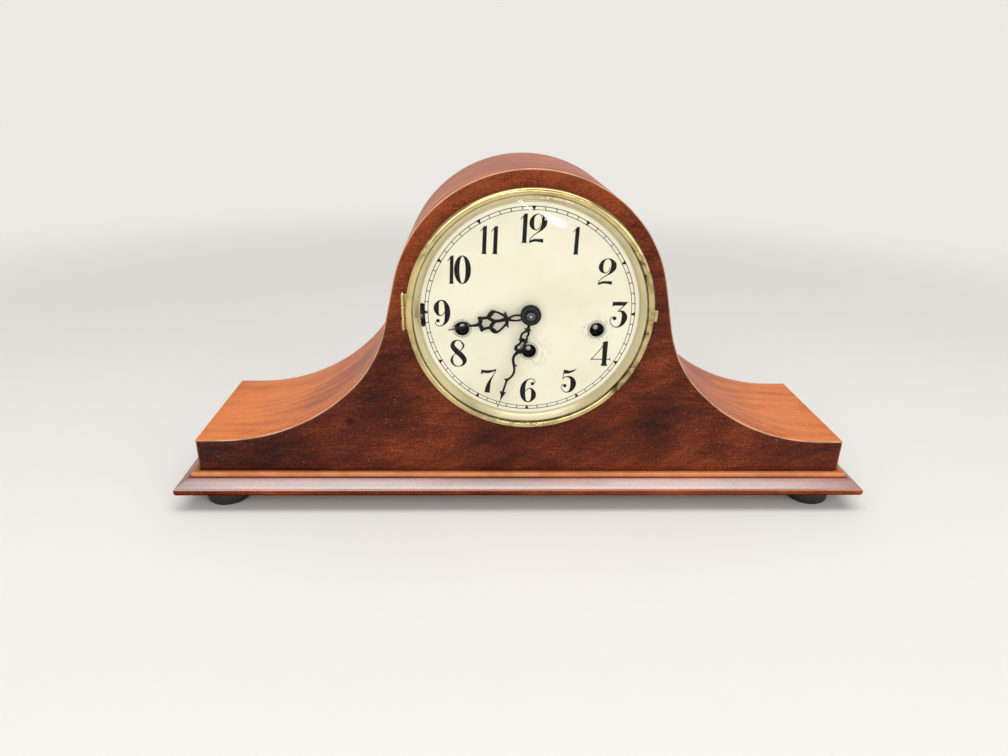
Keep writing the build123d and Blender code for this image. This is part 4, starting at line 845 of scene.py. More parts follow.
@dataclass
class Palette:
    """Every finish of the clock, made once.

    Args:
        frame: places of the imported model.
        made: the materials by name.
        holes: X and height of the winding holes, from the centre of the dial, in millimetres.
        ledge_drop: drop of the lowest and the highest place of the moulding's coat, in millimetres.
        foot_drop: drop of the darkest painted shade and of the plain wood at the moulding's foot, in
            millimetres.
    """

    frame: Frame
    made: dict[str, Material] = field(default_factory=dict)
    holes: tuple[Point, ...] = ((0, -25), (-42.5, -10.4), (42.5, -10.4))
    ledge_drop: Point = (8.5, 2.9)
    foot_drop: Point = (12.4, 9.8)

    def __post_init__(self) -> None:
        """Make all the materials."""
        for finish in self.woods() + self.metals() + self.prints():
            self.made[finish.name] = finish.make()

    def woods(self) -> list[Union[Mahogany, PlainWood]]:
        """Finishes of the wooden pieces.

        Returns:
            The finishes, in order.
        """
        on_case = self.frame.on_case
        # Zones of the front board: the wood's own blotches, with painted light that brightens the top of the
        # hump.
        board = self.zones(on_case, (
            (-66, 165, 60, 0.13), (-84, 118, 34, 0.06), (-190, 8, 90, -0.12), (-24, 198, 30, 0.12),
            (12, 200, 34, 0.15), (46, 186, 30, 0.13), (66, 48, 24, 0.10), (84, 70, 22, 0.07),
            (130, 28, 26, -0.05), (-92, 62, 40, -0.10), (-58, 42, 42, 0.05), (0, 20, 60, -0.04),
            (80, 32, 44, -0.09), (112, 24, 26, 0.04), (200, 10, 50, -0.05)))
        wings = self.zones(on_case, ((-205, 22, 130, 0.17), (208, 22, 130, 0.14)))
        # Band of the coat, and heights of the painted shade under the moulding.
        coated, foot = (tuple(self.frame.ledge - drop * MM for drop in drops)
                        for drops in (self.ledge_drop, self.foot_drop))
        moulded = {"dark": ink(66, 24, 13), "middle": ink(122, 50, 26), "light": ink(178, 90, 48),
                   "worn": ink(236, 158, 106), "gloss": 1.0, "coat_rough": 0.28, "sheen": 0.0,
                   "patchy": 0.6, "relief": 0.00001, "coated": coated, "foot": foot}
        knot = tuple(on_case(-117, 0, 37))
        return [
            Mahogany("front_mahogany", Grain.ACROSS, ink(40, 15, 9), ink(93, 36, 18), ink(150, 71, 33),
                     ink(236, 190, 150), patchy=0.5, flame=0.2, zones=board, knot=knot),
            Mahogany("hump_mahogany", Grain.OVER_HUMP, ink(112, 48, 24), ink(164, 78, 40), ink(226, 130, 70),
                     figure=0.06, zones=wings),
            Mahogany("end_mahogany", Grain.DEPTH),
            Mahogany("front_moulding_mahogany", Grain.ACROSS, coat_bend=2.6, **moulded),
            Mahogany("end_moulding_mahogany", Grain.DEPTH, coat_bend=1.7, **moulded),
            PlainWood("back_wood", ink(122, 74, 44), ink(78, 42, 25)),
            PlainWood("door_wood", ink(134, 80, 48), ink(84, 46, 28), (420.0, 420.0, 14.0)),
            PlainWood("inner_wood"),
            # Nearly black painted shade for the deep faces of the hinge recess.
            PlainWood("recess_stain", ink(20, 12, 9), ink(12, 8, 6), rough=0.8),
        ]

    def metals(self) -> list[Metal]:
        """Finishes of the metal pieces.

        Returns:
            The finishes, in order.
        """
        on_dial = self.frame.on_dial
        axis = tuple(on_dial(0, 0, 0))
        # Dark patches on the ring: tarnish on its sides, and a painted dark reflection along its bottom.
        tarnish = self.zones(on_dial, (
            (70, 33, 26, 1.5), (77, -8, 22, 1.3), (64, -43, 26, 1.5), (0, -80, 60, 0.6), (-76, -22, 22, 0.7),
            (-64, 42, 16, 0.8)))
        # Painted shade: the front plate is nearly black round each winding arbor, where it shows through the
        # holes.
        painted_hole_shade = self.zones(on_dial, ((x, z - 9, 20, 30.0) for x, z in self.holes))
        # Painted highlights on the ends of the winding arbors.
        arbor_tip_highlights = self.zones(on_dial, ((x, z, 1.9, 0.9) for x, z in self.holes))
        # Painted highlight in the middle of the domed nut.
        centre = self.zones(on_dial, ((0, 0, 0.95, 1.0),))
        # Painted highlight on the tip of the chime lever.
        lever_tip_highlight = self.zones(on_dial, ((-68.4, -1.6, 1.2, 1.0),))
        # Dark rings painted on the domed nut as shade and reflection.
        painted_dark_rings = ((2.9 * MM, 0.7 * MM), (1.45 * MM, 0.35 * MM))
        brown, gold, umber = ink(126, 96, 44), ink(214, 178, 104), ink(120, 88, 44)
        return [
            Metal("bezel_brass", ink(216, 197, 142), brown, 0.12, 0.5, Marks.TURNED, axis, stains_and_painted_shade=tarnish),
            Metal("pan_brass", ink(232, 224, 194), ink(150, 130, 90), 0.28, 0.25, Marks.TURNED, axis,
                  0.00002),
            Metal("hinge_brass", ink(214, 188, 140), brown, 0.18, 0.4),
            Metal("movement_brass", gold, umber, 0.3, 0.3, Marks.BRUSHED),
            # Its darkest colour is the painted shade inside the winding holes.
            Metal("front_plate_brass", gold, umber, 0.3, 0.3, Marks.BRUSHED, dark=ink(14, 12, 11),
                  stains_and_painted_shade=painted_hole_shade),
            Metal("wheel_brass", ink(222, 186, 110), ink(128, 92, 46), 0.26, 0.25),
            Metal("bright_steel", ink(196, 196, 194), ink(104, 96, 88), 0.24, 0.3),
            # Painted on the domed nut: a highlight in its middle and dark rings of shade and reflection.
            Metal("nut_steel", ink(112, 112, 124), ink(70, 70, 80), 0.14, 0.2, Marks.TURNED, axis, 0.00003,
                  dark=ink(24, 24, 32), painted_dark_rings=painted_dark_rings, painted_highlights=centre),
            # The arbors are painted nearly black as the shade inside the winding holes, with a painted
            # highlight on each end.
            Metal("arbor_steel", ink(22, 21, 22), ink(14, 13, 13), 0.4, 0.3, painted_highlights=arbor_tip_highlights),
            # Painted highlight on the lever's tip.
            Metal("lever_steel", ink(92, 86, 96), ink(60, 56, 62), 0.3, 0.3, painted_highlights=lever_tip_highlight),
            Metal("grommet_nickel", ink(200, 196, 186), ink(140, 132, 116), 0.2, 0.2),
            Metal("rod_iron", ink(110, 104, 98), ink(72, 52, 40), 0.42, 0.4, Marks.BRUSHED),
        ]

    def prints(self) -> list[Union[Paint, DialCream, ClearGlass]]:
        """Finishes of paint, rubber, the dial and the glass.

        Returns:
            The finishes, in order.
        """
        on_dial = self.frame.on_dial
        axis = tuple(on_dial(0, 0, 0))
        scratched = tuple((tuple(on_dial(x, 0, z)), reach * MM)
                          for x, z, reach in ((3.0, -25.0, 14.0), (42.5, -10.4, 13.0)))
        return [
            # The ring at 4.75 mm is a painted highlight on the step of the collet.
            Paint("hand_enamel", ink(6, 6, 7), ink(11, 10, 11), 0.22, 0.0, 120.0, 0.000006, 0.12, axis,
                  ((4.75 * MM, 0.3 * MM),)),
            Paint("dial_print", ink(12, 11, 10), ink(20, 18, 16), 0.6, 0.0, 500.0, 0.000004, 0.15),
            Paint("foot_rubber", ink(17, 16, 16), ink(32, 30, 28), 0.55, 0.0, 90.0, 0.00004),
            DialCream("dial_cream", scratched=scratched, axis=axis),
            ClearGlass("clear_glass"),
        ]

    def zones(self, put: Callable[..., Vector], rows: Iterable[tuple[float, ...]]) -> tuple[Zone, ...]:
        """Zones from rows of X, height, reach in millimetres and tone."""
        return tuple(Zone(tuple(put(x, 0, z)), reach * MM, tone) for x, z, reach, tone in rows)

    def __getitem__(self, name: str) -> Material:
        """Material of that name."""
        return self.made[name]


# Drawing


class Draft:
    """Points and faces of a piece while it is drawn, in metres."""

    def __init__(self) -> None:
        """Start empty."""
        self.points: list[Vector] = []
        self.faces: list[tuple[int, ...]] = []
        self.wear: list[float] = []
        self.flat: list[Point] = []

    def row(self, points: Iterable[Vector], wear: Union[float, Sequence[float]] = 0.0,
            flat: Optional[Sequence[Point]] = None) -> list[int]:
        """Add a row of points.

        Args:
            points: the points, in metres.
            wear: how worn the finish is there, from 0 to 1, once or for each point.
            flat: place of each point on the unrolled surface, in metres.

        Returns:
            The numbers of the points.
        """
        start = len(self.points)
        self.points.extend(points)
        count = len(self.points) - start
        self.wear.extend([wear] * count if isinstance(wear, float) else wear)
        self.flat.extend(flat if flat is not None else [(0.0, 0.0)] * count)
        return list(range(start, start + count))

    def band(self, first: Sequence[int], second: Sequence[int], closed: bool = True) -> None:
        """Join two rows of the same length with faces.

        Args:
            first: numbers of the points of one row.
            second: numbers of the points of the other.
            closed: whether the rows run all the way round.
        """
        count = len(first)
        for i in range(count if closed else count - 1):
            j = (i + 1) % count
            self.faces.append((first[i], first[j], second[j], second[i]))

    def tube(self, rows: Sequence[Sequence[int]], closed: bool = True) -> None:
        """Join the rows one after the other."""
        for first, second in zip(rows, rows[1:]):
            self.band(first, second, closed)

    def bar(self, rows: Sequence[Sequence[int]]) -> None:
        """Join the rows and close both ends."""
        self.tube(rows)
        self.faces += [tuple(rows[0]), tuple(rows[-1])]

    def ring(self, rows: list[list[int]], closed: bool = True) -> None:
        """Join the rows one after the other, and the last to the first."""
        self.tube(rows + rows[:1], closed)

    def fill(self, *rows: Sequence[int]) -> None:
        """Fill the flat area inside the first row and outside the others.

        Args:
            rows: numbers of the points of each row.
        """
        numbers = [i for row in rows for i in row]
        loops = [[self.points[i] for i in row] for row in rows]
        for triangle in tessellate_polygon(loops):
            self.faces.append(tuple(numbers[i] for i in triangle))

    def prism(self, front: Sequence[Vector], back: Sequence[Vector]) -> None:
        """Solid between two outlines that face each other, in metres, with as many points."""
        self.bar([self.row(front), self.row(back)])

    def mesh(self, name: str) -> Mesh:
        """Turn the draft into a closed mesh that faces outwards.

        Args:
            name: name of the mesh.

        Returns:
            The mesh, with its wear and its unrolled surface.
        """
        mesh = bpy.data.meshes.new(name)
        mesh.from_pydata([tuple(p) for p in self.points], [], self.faces)
        wear = mesh.attributes.new("wear", "FLOAT", "POINT")
        wear.data.foreach_set("value", self.wear)
        flat = mesh.uv_layers.new(name="over_hump")
        for loop in mesh.loops:
            flat.data[loop.index].uv = self.flat[loop.vertex_index]
        return tidy_mesh(mesh)


def tidy_mesh(mesh: Mesh, sharp: float = CREASE) -> Mesh:
    """Close the seams of a mesh, turn its faces outwards and shade it.

    Args:
        mesh: the mesh, changed in place.
        sharp: angle above which an edge stays sharp, in degrees.

    Returns:
        The same mesh.
    """
    work = bmesh.new()
    work.from_mesh(mesh)
    bmesh.ops.remove_doubles(work, verts=work.verts, dist=SAME_POINT)
    bmesh.ops.dissolve_degenerate(work, edges=work.edges, dist=SAME_POINT)
    bmesh.ops.recalc_face_normals(work, faces=work.faces)
    return shaded(work, mesh, sharp)


def shaded(work: bmesh.types.BMesh, mesh: Mesh, sharp: float = CREASE) -> Mesh:
    """Write worked geometry to a mesh, smooth but for its sharp edges.

    Args:
        work: the geometry, which is used up.
        mesh: the mesh, changed in place.
        sharp: angle above which an edge stays sharp, in degrees.

    Returns:
        The same mesh.
    """
    work.to_mesh(mesh)
    work.free()
    mesh.shade_smooth()
    mesh.set_sharp_from_angle(angle=math.radians(sharp))
    return mesh


def make_object(name: str, mesh: Mesh) -> Piece:
    """Put a mesh into the scene.

    Args:
        name: name of the object.
        mesh: its mesh.

    Returns:
        The object, at the origin.
    """
    made = bpy.data.objects.new(name, mesh)
    bpy.context.scene.collection.objects.link(made)
    return made


def settle(piece: Piece) -> Mesh:
    """Apply the modifiers of an object.

    Args:
        piece: the object, which is used up.

    Returns:
        Its plain mesh.
    """
    mesh = bpy.data.meshes.new_from_object(piece.evaluated_get(bpy.context.evaluated_depsgraph_get()))
    bpy.data.objects.remove(piece)
    return mesh


def cut(piece: Piece, tools: Sequence[Piece]) -> Piece:
    """Cut the tools' solids out of a piece.

    Args:
        piece: the piece, which is used up.
        tools: closed solids, which are used up.

    Returns:
        The piece with its cuts.
    """
    name = piece.name
    for tool in tools:
        change = piece.modifiers.new("cut", "BOOLEAN")
        change.operation = "DIFFERENCE"
        change.solver = "EXACT"
        change.object = tool
    mesh = settle(piece)
    for tool in tools:
        bpy.data.objects.remove(tool)
    mesh.name = name
    mesh.set_sharp_from_angle(angle=math.radians(CREASE))
    return make_object(name, mesh)


def join(name: str, meshes: Sequence[Mesh]) -> Mesh:
    """Make one mesh out of several.

    Args:
        name: name of the mesh.
        meshes: the parts, in order.

    Returns:
        The mesh.
    """
    work = bmesh.new()
    for mesh in meshes:
        work.from_mesh(mesh)
    return shaded(work, bpy.data.meshes.new(name))


def rounded_block(name: str, low: Vector, high: Vector, radius: float) -> Mesh:
    """Block with rounded edges.

    Args:
        name: name of the mesh.
        low: lowest corner, in metres.
        high: highest corner, in metres.
        radius: radius of the edges, in metres.

    Returns:
        The mesh.
    """
    work = bmesh.new()
    bmesh.ops.create_cube(work, size=1.0)
    middle, size = (low + high) / 2, high - low
    for vert in work.verts:
        vert.co = Vector(m + c * s for m, c, s in zip(middle, vert.co, size))
    bmesh.ops.bevel(work, geom=work.edges[:], offset=radius, segments=3, profile=0.5, affect="EDGES")
    mesh = bpy.data.meshes.new(name)
    work.to_mesh(mesh)
    work.free()
    mesh.attributes.new("wear", "FLOAT", "POINT")
    return tidy_mesh(mesh)


def dress(piece: Piece, material: Material, body: str, slot: str, *nodes: str) -> None:
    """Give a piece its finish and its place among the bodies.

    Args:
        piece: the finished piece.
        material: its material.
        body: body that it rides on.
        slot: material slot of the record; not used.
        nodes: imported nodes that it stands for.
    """
    piece.data.materials.clear()
    piece.data.materials.append(material)
    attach(piece, body)
    if nodes:
        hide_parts(*nodes)
    LOG.info("%s rides on %s", piece.name, body)


def present(name: str, mesh: Mesh, material: Material, body: str, slot: str, *nodes: str) -> None:
    """Put a finished mesh into the scene as a piece and dress it."""
    dress(make_object(name, mesh), material, body, slot, *nodes)


# Geometry node trees


class Recipe(Graph):
    """Geometry node tree that makes a plain mesh from a drawn one."""

    PLACED: ClassVar[tuple[tuple[str, str], ...]] = (
        ("Tilt", "NodeSocketVector"), ("Centre", "NodeSocketVector"), ("Finish", "NodeSocketMaterial"))

    def __init__(self, name: str, inputs: Sequence[tuple[str, str]]) -> None:
        """Make the tree with its named inputs.

        Args:
            name: name of the tree.
            inputs: pairs of name and socket type, between the geometry and the place and finish.
        """
        tree = bpy.data.node_groups.new(name, "GeometryNodeTree")
        super().__init__(tree)
        tree.interface.new_socket("Drawn", in_out="INPUT", socket_type="NodeSocketGeometry")
        self.sockets = {}
        for label, kind in [*inputs, *self.PLACED]:
            self.sockets[label] = tree.interface.new_socket(label, in_out="INPUT", socket_type=kind)
        tree.interface.new_socket("Made", in_out="OUTPUT", socket_type="NodeSocketGeometry")
        self.entry = self.node("NodeGroupInput").socket.node

    def given(self, label: str) -> Value:
        """Value of a named input."""
        return Value(self, self.entry.outputs[label])

    def finish(self, geometry: Value) -> None:
        """Place the geometry by the named tilt and centre, and end the tree in plain, finished geometry.

        Args:
            geometry: what the tree has made.
        """
        placed = self.node("GeometryNodeTransform", None,
                           {"Geometry": geometry, "Rotation": self.given("Tilt"),
                            "Translation": self.given("Centre")})
        plain = self.node("GeometryNodeRealizeInstances", None, {0: placed})
        dressed = self.node("GeometryNodeSetMaterial", None,
                            {"Geometry": plain, "Material": self.given("Finish")})
        self.node("NodeGroupOutput", None, {"Made": dressed})

    def run(self, name: str, drawn: Mesh, **values: Any) -> Mesh:
        """Evaluate the tree on a drawn mesh.

        Args:
            name: name of the result.
            drawn: the mesh that goes in.
            values: named inputs.

        Returns:
            The plain mesh.
        """
        piece = make_object(name, drawn)
        change = piece.modifiers.new(name, "NODES")
        change.node_group = self.tree
        for label, value in values.items():
            change[self.sockets[label].identifier] = value
        mesh = settle(piece)
        mesh.name = name
        return mesh


class Turning(Recipe):
    """Turns a closed section about an axis, like a lathe."""

    def __init__(self) -> None:
        """Build the tree."""
        super().__init__("turning", [("Radius", "NodeSocketFloat"), ("Segments", "NodeSocketInt")])
        section = self.node("GeometryNodeMeshToCurve", None, {"Mesh": self.given("Drawn")})
        circle = self.node("GeometryNodeCurvePrimitiveCircle", None,
                           {"Resolution": self.given("Segments"), "Radius": self.given("Radius")})
        turned = self.node("GeometryNodeCurveToMesh", None, {"Curve": circle, "Profile Curve": section})
        closed = self.node("GeometryNodeMergeByDistance", None, {"Geometry": turned, "Distance": 2e-7})
        self.finish(closed)

    def make(self, name: str, section: Loop, centre: Vector, finish: Material,
             upright: bool = False, segments: int = 256) -> Mesh:
        """Turn a section.

        Args:
            name: name of the mesh.
            section: closed outline of radius and depth, in millimetres.
            centre: point on the axis where the depth is zero, in metres.
            finish: material of the piece.
            upright: whether the axis stands up instead of running back.
            segments: faces round the axis.

        Returns:
            The turned mesh.
        """
        radius = max(r for r, _ in section)
        side = -1.0 if upright else 1.0
        points = [((r - radius) * MM, side * y * MM, 0.0) for r, y in section]
        drawn = bpy.data.meshes.new(name)
        drawn.from_pydata(points, [(i, (i + 1) % len(points)) for i in range(len(points))], [])
        mesh = self.run(name, drawn, Radius=radius * MM, Segments=segments,
                        Tilt=(0.0 if upright else TURN / 4, 0.0, 0.0), Centre=tuple(centre), Finish=finish)
        return tidy_mesh(mesh)


class DialRing(Recipe):
    """Repeats one printed mark round the dial."""

    def __init__(self) -> None:
        """Build the tree."""
        super().__init__("dial_ring", [("Count", "NodeSocketInt"), ("Start", "NodeSocketFloat"),
                                       ("Step", "NodeSocketFloat")])
        seats = self.node("GeometryNodeMeshLine", None,
                          {"Count": self.given("Count"), "Offset": (0.0, 0.0, 0.0)})
        index = self.node("GeometryNodeInputIndex")
        angle = index * self.given("Step") + self.given("Start")
        turn = self.node("ShaderNodeCombineXYZ", None, {2: angle})
        spread = self.node("GeometryNodeInstanceOnPoints", None,
                           {"Points": seats, "Instance": self.given("Drawn"), "Rotation": turn})
        self.finish(spread)

    def make(self, name: str, mark: Mesh, count: int, centre: Vector, finish: Material) -> Mesh:
        """Repeat a mark, drawn along X at its radius with the front facing Z, evenly round the dial."""
        return self.run(name, mark, Count=count, Start=TURN / 4, Step=TURN / count,
                        Tilt=(TURN / 4, 0.0, 0.0), Centre=tuple(centre), Finish=finish)


# Case


@dataclass(frozen=True)
class CaseOutline:
    """Front view of the case, from the ledge of the moulding, in millimetres."""

    half_width: float = 220.0
    shoulder: float = 22.4
    hump: float = 86.95
    centre: float = 113.6
    side: float = 12.4
    flank: float = 30.2
    upper: float = 86.9
    lower: float = 127.7

    def half(self, inset: float = 0.0, end: float = 0.0) -> Loop:
        """Points from the top of the hump to the upper corner of the right end.

        Args:
            inset: distance drawn in along the curved top.
            end: distance drawn in at the end of the wing.

        Returns:
            The points, always as many.
        """
        crown = (0.0, self.centre)
        start = polar(self.hump, self.side, crown)
        slope = math.radians(self.side)
        knee = (start[0] + self.flank * math.sin(slope), start[1] - self.flank * math.cos(slope))
        upper = polar(self.upper, self.side, knee)
        rise = self.shoulder + self.lower - upper[1]
        lower = (upper[0] + math.sqrt((self.lower - self.upper) ** 2 - rise ** 2), self.shoulder + self.lower)
        meet = math.degrees(math.atan2(upper[1] - lower[1], upper[0] - lower[0])) % 360
        points = arc(self.hump - inset, 90, self.side, 48, crown)
        points += arc(self.upper + inset, 180 + self.side, meet, 30, upper)
        points += arc(self.lower + inset, meet, 270, 14, lower)[1:]
        reach = self.half_width - end - lower[0]
        return points + [(lower[0] + reach * share, self.shoulder - inset) for share in (0.4, 0.75, 1.0)]

    def top(self, inset: float = 0.0, end: float = 0.0) -> Loop:
        """Points over the whole top, from left to right."""
        half = self.half(inset, end)
        return [(-x, z) for x, z in reversed(half[1:])] + half

    def loop(self, inset: float = 0.0, end: float = 0.0) -> Loop:
        """Closed outline with its straight foot."""
        edge = self.half_width - end
        return self.top(inset, end) + [(edge * share, 0.0) for share in (1.0, 0.5, 0.0, -0.5, -1.0)]

    def lengths(self) -> list[float]:
        """Measure along the top.

        Returns:
            Distance of each of its points from the middle.
        """
        top = self.top()
        sums = [0.0]
        for a, b in zip(top, top[1:]):
            sums.append(sums[-1] + math.dist(a, b))
        return [s - sums[-1] / 2 for s in sums]


@dataclass
class Case:
    """Wooden case: front board, bent top, ends and base moulding.

    Sizes are in millimetres. The recess of the hinge and the bed of its leaf are boxes from the centre of
    the dial. Faces deeper than recess_depth in recess_area, which is two places in X and a height, get
    painted shade. The thin lip beyond skin_radius from the dial and above skin_foot looks like the skin.
    """

    frame: Frame
    palette: Palette
    outline: CaseOutline = CaseOutline()
    lip: float = 3.0
    board: float = 16.0
    wrap: float = 4.0
    end: float = 8.0
    edge_round: float = 0.5
    hole: float = 60.0
    seam: float = 0.1
    ledge_reach: float = 4.4
    ledge_round: float = 0.7
    groove: float = 0.35
    quirk: Point = (1.5, 3.0)
    reach: float = 13.9
    nose_drop: float = 7.2
    nose_round: float = 2.0
    nose_turn: float = 56.0
    under_round: float = 2.7
    height: float = 12.7
    inner: float = 30.0
    mitre_gap: float = 0.06
    recess: tuple[Place, Place] = ((-71.5, -4.0, -11.0), (-57.0, 6.0, 7.2))
    leaf: tuple[Place, Place] = ((-80.4, -4.0, -7.0), (-72.8, 1.0, 7.0))
    recess_area: Place = (-75.0, -50.0, 12.0)
    recess_depth: float = 0.6
    skin_radius: float = 84.0
    skin_foot: float = 2.0
    joint: tuple[Point, ...] = ((-0.6, 0.0), (-0.6, -1.0), (0.9, -1.0), (1.0, -0.15), (1.2, 0.0), (1.8, 0.0),
                                (2.9, 0.0))

    def build(self) -> None:
        """Make and dress every wooden piece."""
        self.front_board()
        self.top_skin()
        self.ends()
        self.mouldings()

    def front_board(self) -> None:
        """Front board with a rounded, worn edge and its round hole."""
        draft = Draft()
        radius = self.edge_round
        shape = [(4.5, 0.0, 0.0, 0.0), (1.5, 0.0, 0.0, 0.0), (radius + 0.15, 0.0, 0.0, 0.1)]
        for angle in steps(0, 90, 5):
            inset = radius * (1 - math.sin(math.radians(angle)))
            depth = radius * (1 - math.cos(math.radians(angle)))
            shape.append((inset, 0.0, depth, 1.0))
        shape += [(0.0, 0.0, radius + 0.4, 0.3), (0.0, 0.0, self.lip - 0.1, 0.05), (0.1, 0.0, self.lip, 0.0),
                  (self.wrap, 1.0, self.lip, 0.0), (self.wrap, 1.0, self.board, 0.0)]
        rows, lengths = [], self.outline.lengths()
        for inset, tucked, depth, wear in shape:
            end = self.end if tucked else inset
            points = [self.frame.on_case(x, depth, z) for x, z in self.outline.loop(inset, end)]
            flat = [(length * MM, (depth - inset) * MM) for length in lengths] + [(0.0, 0.0)] * 5
            rows.append(draft.row(points, [wear] * len(lengths) + [0.0] * 5, flat))
        draft.tube(rows)
        circle = arc(self.hole, 0, 360 - 360 / 96, 95, (0.0, self.outline.centre))
        rims = [draft.row(self.frame.on_case(x, depth, z) for x, z in circle) for depth in (0.0, self.board)]
        draft.band(*rims)
        draft.fill(rows[0], rims[0])
        draft.fill(rows[-1], rims[1])
        tools = []
        for box in (self.recess, self.leaf):
            low, high = (self.frame.on_dial(*corner) for corner in box)
            tools.append(make_object("tool", rounded_block("tool", low, high, 0.01 * MM)))
        board = cut(make_object("case_front_board", draft.mesh("case_front_board")), tools)
        dress(board, self.palette["front_mahogany"], "case", "case_wood", "front_panel")
        for finish in ("recess_stain", "hump_mahogany"):
            board.data.materials.append(self.palette[finish])
        for polygon in board.data.polygons:
            polygon.material_index = self.board_finish(polygon.center)

    def board_finish(self, place: Vector) -> int:
        """Choose the finish of a face of the front board.

        Args:
            place: middle of the face, in metres.

        Returns:
            0 for the board's own finish, 1 for the painted shade of the recess and 2 for the skin's.
        """
        x, depth = place.x / MM, (place.y - self.frame.face) / MM
        from_dial, from_ledge = (place.z - self.frame.dial) / MM, (place.z - self.frame.ledge) / MM
        left, right, reach = self.recess_area
        # Deep faces of the recess get the painted shade.
        if depth > self.recess_depth and abs(from_dial) < reach and left < x < right:
            return 1
        at_top = math.hypot(x, from_dial) > self.skin_radius and from_ledge > self.skin_foot
        inside = abs(x) < self.outline.half_width - 0.2
        return 2 if at_top and inside and self.edge_round < depth < self.lip + 0.05 else 0

    def top_skin(self) -> None:
        """Bent skin over hump, flanks and wings."""
        draft = Draft()
        back = self.frame.depth
        lengths = self.outline.lengths()
        lip, seam = self.lip, self.seam
        shape = [(lip, seam), (lip + seam / 3, seam / 3), (lip + seam, 0.0)]
        shape += [(y, 0.0) for y in steps(lip + 8, back - 8, 6)]
        shape += [(back - 0.5, 0.0), (back - 0.14, 0.14), (back, 0.5), (back, self.wrap), (lip, self.wrap)]
        rows = []
        for depth, inset in shape:
            points = [self.frame.on_case(x, depth, z) for x, z in self.outline.top(inset)]
            flat = [(length * MM, (depth - inset) * MM) for length in lengths]
            rows.append(draft.row(points, 0.0, flat))
        draft.ring(rows, closed=False)
        draft.faces += [tuple(row[end] for row in rows) for end in (0, -1)]
        present("case_top_skin", draft.mesh("case_top_skin"), self.palette["hump_mahogany"],
                "case", "case_wood", "top_wrap")

    def ends(self) -> None:
        """Short upright boards at the two ends."""
        half, top = self.outline.half_width, self.outline.shoulder - self.wrap
        boards = []
        for side in (-1, 1):
            near, far = sorted((side * half, side * (half - self.end)))
            boards.append(rounded_block("end", self.frame.on_case(near, self.lip, 0),
                                        self.frame.on_case(far, self.frame.depth, top), 0.3 * MM))
        present("case_ends", join("case_ends", boards), self.palette["end_mahogany"],
                "case", "case_wood", "end_boards")

    def section(self) -> Loop:
        """Section of the base moulding.

        Returns:
            Its points, as distance out and height.
        """
        edge, drop, dip, under = self.ledge_reach, self.quirk[1], self.groove, self.under_round
        sunk = self.nose_round * math.sin(math.radians(self.nose_turn))
        nose = (self.reach - self.nose_round, -self.nose_drop - sunk)
        points = [(-self.inner, 0.0), *self.joint]
        points += arc(self.ledge_round, 90, 0, 5, (edge - self.ledge_round, -self.ledge_round))
        points += [(edge, 0.5 - drop), (edge - dip, 0.3 - drop), (edge - dip, -0.25 - drop),
                   (edge + dip, -0.25 - drop)]
        points += self.ogee((edge + self.quirk[0], -drop), polar(self.nose_round, self.nose_turn, nose),
                            (1.0, -0.6), polar(1.0, self.nose_turn - 90), 18)
        points += arc(self.nose_round, self.nose_turn, 0, 6, nose)[1:]
        points += arc(under, 0, -90, 8, (self.reach - under, under - self.height))
        return points + [(-self.inner, -self.height)]

    def worn(self, out: float, up: float) -> float:
        """Wear of the base moulding at a point of its section.

        Args:
            out: distance out from the case.
            up: height from the ledge.

        Returns:
            The wear, from 0 to 1.
        """
        if out > 0.5 and up > 0.4 - self.quirk[1]:
            return 0.5 if 1.0 < out < self.ledge_reach - self.ledge_round - 0.1 else 1.0
        return 0.35 if out > self.reach - 0.6 and up > -self.nose_drop - 1.0 else 0.0

    def ogee(self, start: Point, end: Point, leave: Point, arrive: Point, count: int) -> Loop:
        """Double curve between two points.

        Args:
            start: first point.
            end: last point.
            leave: direction at the first point.
            arrive: direction at the last point.
            count: number of steps.

        Returns:
            Points of a smooth curve through the middle of the two points.
        """
        middle = ((start[0] + end[0]) / 2, (start[1] + end[1]) / 2)
        pull = math.dist(start, end) / 2
        sides = [tuple(c * pull / math.hypot(*way) for c in way) for way in (leave, arrive)]
        level = tuple((3 * (e - s) - a - b) / 4 for s, e, a, b in zip(start, end, *sides))
        points = []
        for first, last, go, come in ((start, middle, sides[0], level), (middle, end, level, sides[1])):
            for t in steps(0, 1, count // 2)[0 if first is start else 1:]:
                square, cube = t ** 2, t ** 3
                h = (2 * cube - 3 * square + 1, cube - 2 * square + t, -2 * cube + 3 * square, cube - square)
                points.append(tuple(h[0] * p + h[1] * m + h[2] * q + h[3] * n
                                    for p, q, m, n in zip(first, last, go, come)))
        return points

    def mouldings(self) -> None:
        """Front and end lengths of the base moulding, mitred at the corners."""
        half, gap, back = self.outline.half_width, self.mitre_gap, self.frame.depth
        section, put = self.section(), self.frame.on_case
        wear = [self.worn(*point) for point in section]
        draft = Draft()
        draft.bar([draft.row((put(side * (half + out - gap), -out, up) for out, up in section), wear)
                   for side in (-1, 1)])
        present("base_moulding_front", draft.mesh("base_moulding_front"),
                self.palette["front_moulding_mahogany"], "case", "case_wood", "front_moulding")
        draft = Draft()
        for side in (-1, 1):
            mitre, *ends = ([put(side * (half + out), depth - out * share, up) for out, up in section]
                            for depth, share in ((gap, 1), (back - gap, 0), (back, 0)))
            draft.bar([draft.row(mitre, wear), draft.row(ends[0], wear), draft.row(ends[1])])
        present("base_moulding_ends", draft.mesh("base_moulding_ends"),
                self.palette["end_moulding_mahogany"], "case", "case_wood", "end_mouldings")


# Bezel and pan


